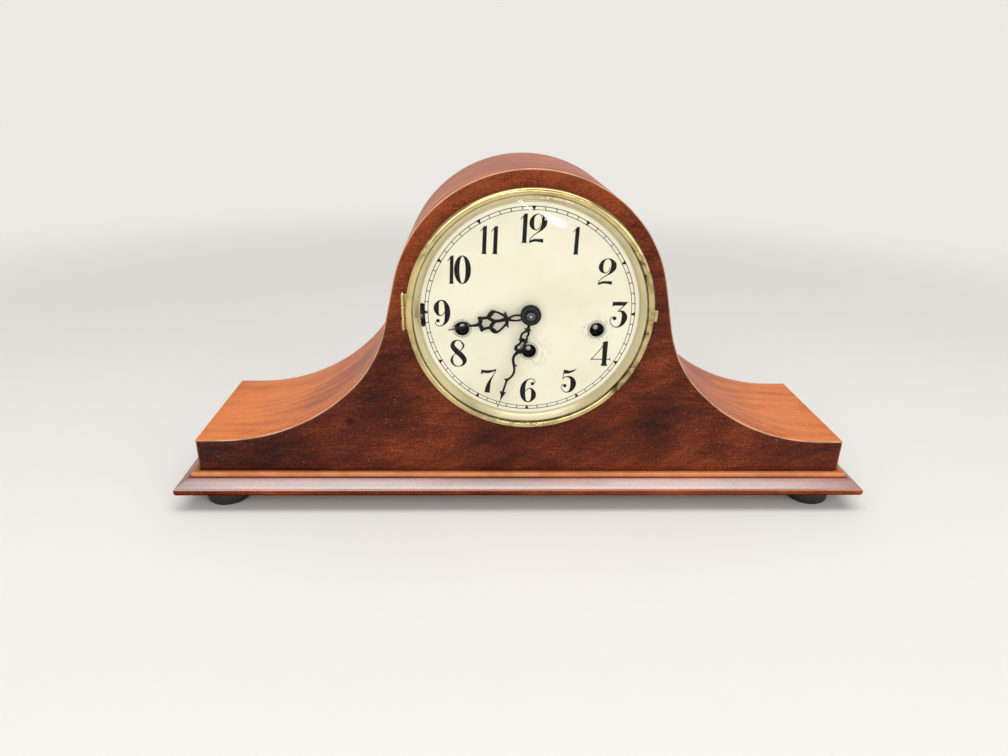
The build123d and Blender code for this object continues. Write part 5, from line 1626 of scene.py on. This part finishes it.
@dataclass
class Bezel:
    """Brass ring with its hinge and thumb tab, and the convex glass, with sizes in millimetres."""

    frame: Frame
    palette: Palette
    turning: Turning
    outer: float = 77.6
    inner: float = 73.3
    seat: float = 75.1
    seat_depth: float = 7.9
    depth: float = 8.6
    shoulder: float = 5.2
    gap: float = 0.3
    crown: float = 13.2
    glass: float = 1.2
    retainer: float = 73.2
    axis: Point = (-79.1, -1.9)
    knuckle: float = 1.3
    bore: float = 0.65
    web: float = 1.0
    hinge_height: float = 23.2
    middle_knuckle: float = 8.0
    tab: tuple[Place, Place] = ((75.5, -6.5, -3.9), (79.5, -3.0, 3.9))
    outer_round: float = 2.1
    inner_round: Point = (1.3, 0.7)

    def build(self) -> None:
        """Make and dress the ring and the glass."""
        brass, clear = self.palette["bezel_brass"], self.palette["clear_glass"]
        put = self.frame.on_dial
        middle = put(0, 0, 0)
        meshes = [self.turning.make("ring", self.section(), middle, brass, segments=288)]
        meshes += self.knuckles(brass)
        meshes.append(rounded_block("tab", *(put(*corner) for corner in self.tab), 0.6 * MM))
        present("bezel_brass_ring", join("bezel_brass_ring", meshes), brass, "bezel_door", "brass",
                "bezel_ring")
        self.pin_ends()
        glass = self.turning.make("bezel_clear_glass", self.glass_section(), middle, clear, segments=192)
        present("bezel_clear_glass", glass, clear, "bezel_door", "glass", "bezel_glass")
        front, back = -self.glass_back(), -self.glass_back() + 1.0
        lip, rim = self.retainer, self.seat - 0.05
        section = [(lip, back), (lip - 0.3, back - 0.3), (lip - 0.3, front + 0.3), (lip, front),
                   (rim, front), (rim, back)]
        keeper = self.turning.make("glass_retaining_ring", section, middle, brass)
        present("glass_retaining_ring", keeper, brass, "bezel_door", "brass", "glass_retainer")

    def pin_ends(self) -> None:
        """Bright round ends of the hinge pin."""
        x, y = self.axis
        meshes = []
        for side in (-1, 1):
            work = bmesh.new()
            bmesh.ops.create_uvsphere(work, u_segments=24, v_segments=14, radius=self.knuckle * 0.85 * MM)
            work.transform(Matrix.Translation(self.frame.on_dial(x, y, side * self.hinge_height / 2)))
            mesh = bpy.data.meshes.new("ball")
            work.to_mesh(mesh)
            work.free()
            meshes.append(mesh)
        mesh = join("bezel_pin_ends", meshes)
        present("bezel_pin_ends", mesh, self.palette["hinge_brass"], "case", "brass")

    def glass_back(self) -> float:
        """Depth of the back of the glass's rim, with the gap behind it."""
        return self.seat_depth - self.glass - 0.1

    def section(self) -> Loop:
        """Section of the ring.

        Returns:
            Its points, as radius and depth.
        """
        points = [(self.seat, -self.gap), (self.outer - 0.5, -self.gap), (self.outer, -self.gap - 0.5)]
        down = self.depth - self.shoulder
        for angle in steps(0, 90, 10):
            out, ahead = polar(1.0, angle)
            points.append((self.outer - self.outer_round * (1 - out), -self.shoulder - down * ahead))
        across, down = self.inner_round
        for angle in steps(0, 90, 7):
            ahead, out = polar(1.0, angle)
            points.append((self.inner + across * (1 - out), -self.seat_depth - down * ahead))
        return points + [(self.seat, -self.seat_depth)]

    def glass_section(self) -> Loop:
        """Section of the glass.

        Returns:
            Its points, as radius and depth.
        """
        rim, radius, sag = self.seat - 0.1, self.inner - 0.1, self.crown - self.seat_depth
        sphere = (radius ** 2 + sag ** 2) / (2 * sag)
        outer, inner = [], []
        for r in steps(0.0, radius, 24):
            rise = math.sqrt(sphere ** 2 - r ** 2) - (sphere - sag)
            outer.append((r, -self.seat_depth - rise))
            inner.append((r, -self.seat_depth - rise + self.glass))
        back = -self.seat_depth + self.glass
        return outer + [(rim, -self.seat_depth), (rim, back)] + inner[::-1]

    def knuckles(self, brass: Material) -> list[Mesh]:
        """Two hinge knuckles and the webs that carry them.

        Args:
            brass: their finish.

        Returns:
            Their meshes.
        """
        (x, y), put = self.axis, self.frame.on_dial
        half, inner = self.hinge_height / 2, self.middle_knuckle / 2 + 0.2
        meshes = []
        for low, high in ((-half, -inner), (inner, half)):
            section = [(self.bore, low), (self.knuckle - 0.25, low), (self.knuckle, low + 0.25),
                       (self.knuckle, high - 0.25), (self.knuckle - 0.25, high), (self.bore, high)]
            meshes.append(self.turning.make("knuckle", section, put(x, y, 0), brass, True, 32))
            meshes.append(rounded_block("web", put(x, y, low + 0.1), put(-75.6, y + self.web, high - 0.1),
                                        0.2 * MM))
        return meshes


@dataclass
class Pan:
    """Spun ring behind the dial with its polished cone, with sizes in millimetres."""

    frame: Frame
    palette: Palette
    turning: Turning
    hole: float = 60.0
    cone: float = 69.1
    rim: float = 72.6
    rim_depth: float = 6.4
    thickness: float = 1.0
    slot_radius: float = 67.3
    slot_width: float = 2.8
    slot_ends: Point = (5.9, -9.7)

    def build(self) -> None:
        """Make and dress the pan."""
        brass = self.palette["pan_brass"]
        thin, cone, rim, front = self.thickness, self.cone, self.rim, -self.rim_depth
        section = [(self.hole, -thin), (self.hole, 0.0), (cone + 0.4, 0.0), (cone + 0.7, -0.3),
                   (rim, front + 0.6), (rim, front + 0.15), (rim - 0.15, front), (rim - 0.45, front),
                   (rim - 0.65, front + 0.3), (cone + 0.2, -thin - 0.25), (cone - 0.1, -thin)]
        mesh = self.turning.make("dial_pan_brass", section, self.frame.on_dial(0, 0, 0), brass)
        pan = cut(make_object("dial_pan_brass", mesh), [self.slot_tool()])
        dress(pan, brass, "case", "brass", "dial_pan")

    def slot_tool(self) -> Piece:
        """Solid of the slot of the chime lever.

        Returns:
            The solid, in front of and behind the pan.
        """
        half = self.slot_width / 2
        start = 180 - math.degrees(math.asin((self.slot_ends[0] - half) / self.slot_radius))
        end = 180 + math.degrees(math.asin((-self.slot_ends[1] - half) / self.slot_radius))
        outline = arc(self.slot_radius + half, start, end, 12)
        outline += arc(half, end, end + 180, 8, polar(self.slot_radius, end))[1:-1]
        outline += arc(self.slot_radius - half, end, start, 12)
        outline += arc(half, start + 180, start + 360, 8, polar(self.slot_radius, start))[1:-1]
        draft = Draft()
        draft.prism([self.frame.on_dial(x, -6, z) for x, z in outline],
                    [self.frame.on_dial(x, 4, z) for x, z in outline])
        return make_object("slot", draft.mesh("slot"))


# Dial print


@dataclass
class DialPrint:
    """Black print of the dial: hour numerals and minute track."""

    frame: Frame
    palette: Palette
    ring: DialRing
    front: float = -1.8
    proud: float = 0.025
    sunk: float = 0.05
    outer_ring: float = 65.8
    inner_ring: float = 63.7
    marks: tuple[tuple[str, int, tuple[Point, ...]], ...] = (
        ("minutes", 60, ((63.8, 0.32), (64.4, 0.23), (65.1, 0.23), (65.7, 0.34))),
        ("hours", 12, ((63.3, 0.34), (64.2, 0.5), (65.0, 0.95), (66.1, 1.4))),
    )

    def build(self) -> None:
        """Make and dress the print."""
        finish = self.palette["dial_print"]
        centre = self.frame.on_dial(0, self.front, 0)
        meshes = [self.ring.make(name, self.mark(stations), count, centre, finish)
                  for name, count, stations in self.marks]
        meshes += [self.line(self.outer_ring, 0.42), self.line(self.inner_ring, 0.36)]
        meshes += [part.mesh(box, self) for digit, box in NUMERALS for part in DIGITS[digit]]
        mesh = join("dial_numerals_and_track", meshes)
        present("dial_numerals_and_track", mesh, finish, "case", "dial_cream")

    def mark(self, stations: Sequence[Point]) -> Mesh:
        """One mark along X.

        Args:
            stations: pairs of radius and half width, in millimetres.

        Returns:
            The mark's mesh.
        """
        outline = [*stations, *((r, -half) for r, half in reversed(stations))]
        draft = Draft()
        draft.prism(*([Vector((x * MM, y * MM, level * MM)) for x, y in outline]
                      for level in (self.proud, -self.sunk)))
        return draft.mesh("mark")

    def line(self, radius: float, width: float) -> Mesh:
        """Thin printed circle of a radius and a width, in millimetres."""
        edges = ((-0.5, True), (0.5, True), (0.5, False), (-0.5, False))
        return self.loops((arc(radius + width * side, 0, 358, 179), proud) for side, proud in edges)

    def place(self, x: float, z: float, proud: bool) -> Vector:
        """Point of the print on its front or its sunk back."""
        return self.frame.on_dial(x, self.front + (-self.proud if proud else self.sunk), z)

    def loops(self, rings: Iterable[tuple[Loop, bool]]) -> Mesh:
        """Printed ring out of the four loops of its edges.

        Args:
            rings: the loops in order, each with whether it is on the front.

        Returns:
            The ring's mesh.
        """
        draft = Draft()
        draft.ring([draft.row(self.place(x, z, proud) for x, z in ring) for ring, proud in rings])
        return draft.mesh("ring")

    def slab(self, outline: Sequence[Point]) -> Mesh:
        """Printed area.

        Args:
            outline: its outline, in millimetres.

        Returns:
            Its mesh.
        """
        draft = Draft()
        draft.prism(*([self.place(x, z, proud) for x, z in outline] for proud in (True, False)))
        return draft.mesh("slab")


@dataclass(frozen=True)
class Box:
    """Place of one digit on the dial, in millimetres."""

    left: float
    right: float
    low: float
    high: float

    def at(self, x: float, z: float) -> Point:
        """Point from percent of the width and the height."""
        wide, tall = self.right - self.left, self.high - self.low
        return (self.left + wide * (x / 100), self.low + tall * (z / 100))


@dataclass(frozen=True)
class Stroke:
    """Pen stroke of a digit.

    Args:
        points: percent of width and height, with the width of the stroke in millimetres.
    """

    points: tuple[Place, ...]

    STEPS: ClassVar[int] = 7
    THINNEST: ClassVar[float] = 0.1

    def path(self, box: Box) -> list[Place]:
        """Smooth path through the points.

        Args:
            box: place of the digit.

        Returns:
            Points of the path with the width there, in millimetres.
        """
        knots = [(*box.at(x, z), width) for x, z, width in self.points]
        knots = [knots[0], *knots, knots[-1]]
        path = []
        for four in zip(knots, knots[1:], knots[2:], knots[3:]):
            for t in steps(0, 1, self.STEPS)[:-1]:
                path.append(tuple(0.5 * (2 * q + (r - p) * t + (2 * p - 5 * q + 4 * r - s) * t * t
                                         + (3 * q - p - 3 * r + s) * t ** 3) for p, q, r, s in zip(*four)))
        return path + [knots[-1]]

    def mesh(self, box: Box, dial: DialPrint) -> Mesh:
        """Draw the stroke.

        Args:
            box: place of the digit.
            dial: print that it belongs to.

        Returns:
            The stroke's mesh.
        """
        path = self.path(box)
        draft = Draft()
        rows = []
        for i, (x, z, width) in enumerate(path):
            before, after = path[max(i - 1, 0)], path[min(i + 1, len(path) - 1)]
            dx, dz = after[0] - before[0], after[1] - before[1]
            half = max(width, self.THINNEST) / 2
            reach = math.hypot(dx, dz) or 1.0
            nx, nz = -dz / reach * half, dx / reach * half
            sides = ((1, True), (-1, True), (-1, False), (1, False))
            rows.append(draft.row(dial.place(x + side * nx, z + side * nz, proud) for side, proud in sides))
        draft.bar(rows)
        return draft.mesh("stroke")


@dataclass(frozen=True)
class Filled:
    """Filled part of a digit.

    Args:
        points: its outline, in percent of width and height.
    """

    points: tuple[Point, ...]

    def mesh(self, box: Box, dial: DialPrint) -> Mesh:
        """Draw the part in its box."""
        return dial.slab([box.at(x, z) for x, z in self.points])


@dataclass(frozen=True)
class Ball:
    """Round end of a thin stroke.

    Args:
        x: percent of the width.
        z: percent of the height.
        radius: its radius, in millimetres.
    """

    x: float
    z: float
    radius: float

    def mesh(self, box: Box, dial: DialPrint) -> Mesh:
        """Draw the ball in its box."""
        return dial.slab(arc(self.radius, 0, 360 - 360 / 20, 19, box.at(self.x, self.z)))


@dataclass(frozen=True)
class Oval:
    """Oval with thick sides that fills its box.

    Args:
        thick: width of its sides, in millimetres.
        thin: width at top and bottom, in millimetres.
    """

    thick: float
    thin: float

    def mesh(self, box: Box, dial: DialPrint) -> Mesh:
        """Draw the oval.

        Args:
            box: place of the digit.
            dial: print that it belongs to.

        Returns:
            The oval's mesh.
        """
        (x, z), wide, tall = box.at(50, 50), (box.right - box.left) / 2, (box.high - box.low) / 2
        edges, turns = ((0, True), (1, True), (1, False), (0, False)), arc(1.0, 0, 354, 59)
        return dial.loops(([(x + (wide - side * self.thick) * c, z + (tall - side * self.thin) * s)
                            for c, s in turns], proud) for side, proud in edges)


DIGITS: dict[str, tuple[Union[Stroke, Filled, Ball, Oval], ...]] = {
    "0": (Oval(3.3, 0.55),),
    "1": (
        Filled(((16, 0), (100, 0), (90, 3), (88, 8), (96, 100), (56, 99), (42, 94), (0, 80), (5, 79),
            (40, 88), (32, 8), (29, 3))),
    ),
    "2": (
        Stroke(((64, 66, 0.35), (58, 52, 0.4), (44, 45.5, 0.5), (28, 48, 1.2), (15.5, 58, 2.5),
            (13, 72, 2.8), (21, 87, 1.8), (38, 96.5, 0.7), (54, 98.5, 0.6), (72, 93, 1.6), (86, 79, 3.2),
            (85, 64, 3.3), (72, 49, 1.9), (56, 39.5, 0.8), (24, 26, 0.5), (6, 13, 0.5), (3, 5, 0.5))),
        Filled(((0, 0), (0, 5), (10, 10), (28, 14.5), (55, 14.5), (84, 15), (84, 1), (58, 4.5), (32, 5.5),
            (14, 2))),
    ),
    "3": (
        Filled(((10, 81), (12, 98.5), (60, 98.5), (100, 98), (80, 84), (25, 84), (13, 81))),
        Stroke(((88, 91, 0.6), (64, 75, 0.6), (43, 61, 0.5))),
        Stroke(((43, 61, 0.5), (58, 63.5, 0.9), (77, 56, 2.4), (85, 38, 3.6), (77, 18, 2.6), (58, 4, 1.1),
            (38, 1.5, 0.6), (16, 9, 0.5), (5, 23, 0.5), (9, 36, 0.5), (22, 42, 0.4))),
        Ball(29, 35, 1.25),
    ),
    "4": (
        Filled(((52, 5), (56, 0), (88, 0), (86, 5), (82, 9), (82, 100), (56, 96), (58, 9))),
        Stroke(((74, 98.5, 0.5), (40, 62, 0.5), (3, 28, 0.5))),
        Stroke(((2, 27, 0.55), (50, 27, 0.55), (99, 27, 0.55))),
        Filled(((92, 27), (100, 20), (100, 36))),
        Filled(((10, 27), (0, 22), (0, 33))),
    ),
    "5": (
        Filled(((12, 94.5), (30, 93), (50, 90), (72, 92.5), (100, 99.5), (86, 90), (70, 84), (45, 78.5),
            (13, 77.5))),
        Stroke(((14, 82, 0.5), (11, 68, 0.45), (9, 56, 0.45))),
        Stroke(((9, 56, 0.45), (22, 63.5, 0.6), (42, 65.5, 0.9), (66, 60, 2.2), (80, 43, 3.6),
            (79, 26, 3.4), (66, 9, 2.0), (44, 1.5, 0.8), (22, 4, 0.5), (5, 16, 0.45), (3, 27, 0.45),
            (12, 35, 0.45))),
        Ball(25, 28.5, 1.2),
    ),
    "6": (
        Stroke(((84, 80, 0.5), (92, 86, 0.5), (84, 94.5, 0.5), (66, 98.5, 0.6), (42, 93, 1.0),
            (23, 76, 2.6), (16, 52, 3.5), (19, 28, 3.2), (32, 8, 1.7), (50, 1.5, 0.7), (70, 6, 1.3),
            (84, 22, 3.1), (84, 38, 3.1), (75, 53, 1.7), (60, 58.5, 0.7), (44, 54, 0.5), (34, 44, 0.45))),
        Ball(76, 78, 1.15),
    ),
    "7": (
        Filled(((3, 97), (20, 94.5), (45, 93.5), (75, 95.5), (99, 99.5), (90, 91), (65, 84.5), (40, 81),
            (15, 83.5), (5, 77.5), (0, 78))),
        Stroke(((95, 95, 0.5), (80, 75, 0.6), (63, 56, 1.2), (51, 37, 2.3), (44, 18, 3.1), (41, 0, 3.5))),
    ),
    "8": (
        Stroke(((74, 84, 0.6), (62, 97, 0.6), (44, 98.5, 0.6), (24, 92, 1.8), (18, 77, 2.9),
            (38, 60, 3.4), (68, 42, 3.5), (86, 24, 3.0), (76, 7, 1.3), (50, 1.5, 0.6), (24, 7, 1.1),
            (12, 24, 1.7), (22, 42, 0.7), (46, 54, 0.5), (72, 67, 0.8), (80, 80, 1.2), (70, 92, 0.7),
            (60, 97, 0.5))),
    ),
}

# The nine is a six turned round.
NUMERALS: tuple[tuple[str, Box], ...] = (
    ("1", Box(23.6, 28.0, 37.3, 54.0)), ("2", Box(41.0, 51.5, 18.6, 35.2)), ("3", Box(50.1, 61.2, -8.9, 8.2)),
    ("4", Box(40.3, 52.7, -35.2, -18.0)), ("5", Box(21.9, 31.7, -54.1, -37.0)),
    ("6", Box(-4.8, 5.7, -61.1, -44.3)), ("7", Box(-30.5, -20.2, -54.4, -37.7)),
    ("8", Box(-50.5, -39.5, -36.3, -18.2)), ("6", Box(-50.0, -60.0, 7.9, -9.3)),
    ("1", Box(-51.4, -47.4, 18.2, 35.8)), ("0", Box(-47.4, -37.1, 18.2, 35.8)),
    ("1", Box(-31.9, -27.5, 36.9, 53.8)), ("1", Box(-25.3, -20.9, 36.9, 53.8)),
    ("1", Box(-8.0, -3.4, 43.9, 61.5)), ("2", Box(-2.4, 7.8, 43.9, 61.5)),
)


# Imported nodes


@dataclass(frozen=True)
class Eased:
    """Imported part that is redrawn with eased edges.

    Args:
        node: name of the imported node.
        name: name of the piece.
        finish: name of its finish.
        slot: material slot of the record.
        ease: width of its eased edges, in millimetres.
    """

    node: str
    name: str
    finish: str
    slot: str
    ease: float


@dataclass
class Carried:
    """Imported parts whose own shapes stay.

    Args:
        nodes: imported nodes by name.
        palette: finishes.
        eased: parts that are redrawn with eased edges.
        finishes: finish of every other part.
    """

    nodes: dict[str, Piece]
    palette: Palette
    eased: tuple[Eased, ...] = (
        Eased("minute_hand", "minute_hand_enamelled", "hand_enamel", "black_metal", 0.12),
        Eased("hour_hand", "hour_hand_enamelled", "hand_enamel", "black_metal", 0.12),
        Eased("hand_nut", "hand_nut_domed", "nut_steel", "steel", 0.1),
        Eased("winding_grommets", "winding_grommets_bright", "grommet_nickel", "nickel", 0.2),
        *(Eased(f"{train}_winding_arbor", f"{train}_arbor_squared", "arbor_steel", "steel", 0.5)
          for train in ("time", "strike", "chime")),
        Eased("chime_silent_lever", "chime_lever_plain", "lever_steel", "steel", 0.2),
        Eased("bezel_hinge_leaf", "bezel_leaf_brass", "hinge_brass", "brass", 0.15),
        Eased("hinge_pins", "hinge_pins_bright", "hinge_brass", "steel", 0.2),
        Eased("door_knob", "door_knob_turned", "hinge_brass", "brass", 0.5),
        Eased("door_hinge_leaves", "door_leaves_brass", "hinge_brass", "brass", 0.15),
        Eased("door_hinge_straps", "door_straps_brass", "hinge_brass", "brass", 0.15),
        Eased("rear_door", "rear_door_slotted", "door_wood", "inner_wood", 0.5),
        Eased("back_panel", "back_board", "back_wood", "inner_wood", 0.5),
        Eased("base_board", "base_board_plain", "inner_wood", "inner_wood", 0.5),
        Eased("feet", "feet_rubber", "foot_rubber", "black_feet", 0.6),
    )
    finishes: dict[str, tuple[str, ...]] = field(default_factory=lambda: {
        "inner_wood": ("rod_block",),
        "front_plate_brass": ("front_plate",),
        "movement_brass": ("back_plate", "plate_pillars", "balance_cock"),
        "wheel_brass": ("centre_wheel", "cannon_pinion", "minute_wheel", "hour_wheel", "time_barrel",
                        "second_wheel", "third_wheel", "escape_wheel", "balance_wheel", "strike_barrel",
                        "strike_wheel", "chime_barrel", "chime_wheel", "chime_drum",
                        *(f"hammer_{number}" for number in range(1, 6))),
        "bright_steel": ("wood_screws", "plate_fasteners", "mounting_straps", "pallet_anchor", "hammer_arbor",
                         "time_click", "strike_click", "chime_click"),
        "rod_iron": ("chime_rods",),
        "dial_cream": ("dial_plate",),
    })

    def build(self) -> None:
        """Redraw the parts with eased edges, and give the others their finish."""
        for part in self.eased:
            node = self.nodes[part.node]
            piece = make_object(part.name, self.ease(node.data, part))
            dress(piece, self.palette[part.finish], node["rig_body"], part.slot, part.node)
        for finish, names in self.finishes.items():
            for name in names:
                for slot in self.nodes[name].material_slots:
                    slot.material = self.palette[finish]
                LOG.info("%s keeps its packed shape in %s", name, finish)

    def ease(self, packed: Mesh, part: Eased) -> Mesh:
        """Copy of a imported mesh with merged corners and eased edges.

        Args:
            packed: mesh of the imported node.
            part: how the copy is made.

        Returns:
            The new mesh.
        """
        work = bmesh.new()
        work.from_mesh(packed)
        bmesh.ops.remove_doubles(work, verts=work.verts, dist=2e-6)
        bmesh.ops.dissolve_limit(work, angle_limit=math.radians(1.0), verts=work.verts, edges=work.edges)
        edges = [e for e in work.edges if e.is_manifold and e.calc_face_angle(0.0) > math.radians(40.0)]
        bmesh.ops.bevel(work, geom=edges, offset=part.ease * MM, segments=2, profile=0.5, affect="EDGES",
                        clamp_overlap=True)
        bmesh.ops.triangulate(work, faces=[f for f in work.faces if len(f.verts) > 4])
        mesh = bpy.data.meshes.new(part.name)
        work.to_mesh(mesh)
        work.free()
        return tidy_mesh(mesh, 40.0)


# Studio


@dataclass(frozen=True)
class Lamp:
    """Soft rectangular light that only its reflections show.

    Args:
        name: name of the light.
        place: where it hangs, in metres.
        aim: point that it faces.
        size: width and height, in metres.
        power: power, in watts.
        turn: turn about its own axis, in degrees.
    """

    name: str
    place: Place
    aim: Place
    size: Point
    power: float
    turn: float = 0.0

    def hang(self) -> None:
        """Put the light into the scene."""
        lamp = bpy.data.lights.new(self.name, "AREA")
        lamp.shape = "RECTANGLE"
        lamp.size, lamp.size_y = self.size
        lamp.energy = self.power
        made = bpy.data.objects.new(self.name, lamp)
        facing = (Vector(self.aim) - Vector(self.place)).to_track_quat("-Z", "Y").to_matrix().to_4x4()
        turn = Matrix.Rotation(math.radians(self.turn), 4, "Z")
        made.matrix_world = Matrix.Translation(self.place) @ facing @ turn
        made.visible_camera = False
        bpy.context.scene.collection.objects.link(made)


@dataclass
class Studio:
    """Floor, backdrop, lights and camera."""

    lamps: tuple[Lamp, ...] = (
        Lamp("key", (-0.6, -1.25, 0.8), (0.0, 0.0, 0.1), (1.2, 1.0), 8.0),
        Lamp("overhead", (0.05, -0.24, 1.45), (0.05, 0.0, 0.1), (1.8, 0.55), 12.0),
        Lamp("fill", (1.2, -1.1, 0.6), (0.0, 0.0, 0.1), (1.0, 0.8), 5.5),
        Lamp("back", (0.2, 0.9, 1.3), (0.0, 0.0, 0.15), (1.2, 1.0), 1.0),
        Lamp("glint", (0.023, -1.044, 0.328), (-0.008, -0.052, 0.207), (0.11, 0.012), 0.25, -38.0),
        Lamp("gleam", (0.158, -1.04, 0.260), (0.011, -0.054, 0.198), (0.125, 0.03), 0.26, -25.0),
    )
    place: Place = (-0.0342, -0.46365, 0.26975)
    yaw: float = 2.569
    pitch: float = 22.743
    roll: float = 1.34
    lens: float = 24.963
    floor: Colour = ink(236, 233, 228)
    air: float = 0.4

    RAYS: ClassVar[tuple[str, ...]] = ("Camera", "Glossy", "Transmission")

    def build(self) -> None:
        """Set up the whole studio."""
        self.backdrop()
        self.world()
        for lamp in self.lamps:
            lamp.hang()
        self.camera()
        bpy.context.scene.view_settings.view_transform = "Standard"

    def backdrop(self) -> None:
        """Floor that curves up behind the clock."""
        start, bend, wide = 1.2, 0.6, 3.0
        profile = [(-2.5, 0.0), (start, 0.0), *arc(bend, -90, 0, 12, (start, bend)), (start + bend, 2.6)]
        draft = Draft()
        rows = [draft.row([Vector((x, y, z)) for y, z in profile]) for x in (-wide, wide)]
        draft.band(rows[1], rows[0], closed=False)
        mesh = bpy.data.meshes.new("studio_floor")
        mesh.from_pydata([tuple(p) for p in draft.points], [], draft.faces)
        mesh.shade_smooth()
        sheet = make_object("studio_floor", mesh)
        paper = Shader("studio_paper")
        clouds = paper.noise(paper.place(), 3.0, 2.0) * 0.04
        colour = paper.tint(clouds, self.floor, ink(214, 210, 204))
        near = paper.node("ShaderNodeBsdfPrincipled", None, {"Base Color": colour, "Roughness": 0.9})
        away = paper.node("ShaderNodeVectorMath", {"operation": "LENGTH"}, {0: paper.place()}, "Value")
        far = paper.node("ShaderNodeEmission", None, {"Color": self.floor, "Strength": 1.0})
        share = paper.between(away, 0.5, 1.3) * self.seen(paper)
        mesh.materials.append(paper.end(paper.node("ShaderNodeMixShader", None, {0: share, 1: near, 2: far})))

    def seen(self, graph: Graph) -> Value:
        """One for rays that see the background, also in metal and glass."""
        rays = [graph.node("ShaderNodeLightPath", out=f"Is {kind} Ray") for kind in self.RAYS]
        return rays[0].most(rays[1]).most(rays[2])

    def world(self) -> None:
        """Pale air that is dimmer overhead."""
        world = bpy.data.worlds.new("studio_air")
        world.use_nodes = True
        air = Graph(world.node_tree)
        way = air.node("ShaderNodeTexCoord", out="Generated")
        height = air.node("ShaderNodeSeparateXYZ", None, {0: way}, 2)
        shade = air.node("ShaderNodeMapRange", {"interpolation_type": "SMOOTHSTEP"},
                         {"Value": height, 1: 0.15, 2: 0.75, 3: 1.0, 4: 0.35})
        soft = air.node("ShaderNodeBackground", None, {"Color": (0.96, 0.98, 1.0), "Strength": self.air})
        seen = air.node("ShaderNodeBackground", None, {"Color": self.floor, "Strength": shade})
        mixed = air.node("ShaderNodeMixShader", None, {0: self.seen(air), 1: soft, 2: seen})
        air.node("ShaderNodeOutputWorld", None, {"Surface": mixed})
        bpy.context.scene.world = world

    def camera(self) -> None:
        """Camera at the angle of the photograph."""
        yaw, pitch, roll = (math.radians(a) for a in (self.yaw, self.pitch, self.roll))
        ahead = Vector((math.sin(yaw) * math.cos(pitch), math.cos(yaw) * math.cos(pitch), -math.sin(pitch)))
        level = Vector((math.cos(yaw), -math.sin(yaw), 0.0))
        rise = Vector((math.sin(yaw) * math.sin(pitch), math.cos(yaw) * math.sin(pitch), math.cos(pitch)))
        right = level * math.cos(roll) + rise * math.sin(roll)
        top = rise * math.cos(roll) - level * math.sin(roll)
        view = bpy.data.cameras.new("camera")
        view.sensor_width = 36.0
        view.lens = self.lens
        made = bpy.data.objects.new("camera", view)
        facing = Matrix((right, top, -ahead)).transposed().to_4x4()
        made.matrix_world = Matrix.Translation(self.place) @ facing
        bpy.context.scene.collection.objects.link(made)
        bpy.context.scene.camera = made


def main() -> None:
    """Build the clock on its frame and set up the studio."""
    logging.basicConfig(level=logging.INFO, format="%(name)s: %(message)s")
    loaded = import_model()
    frame = Frame.read()
    palette = Palette(frame)
    turning = Turning()
    Studio().build()
    Case(frame, palette).build()
    Bezel(frame, palette, turning).build()
    Pan(frame, palette, turning).build()
    DialPrint(frame, palette, DialRing()).build()
    Carried(loaded["nodes"], palette).build()


if __name__ == "__main__":
    main()
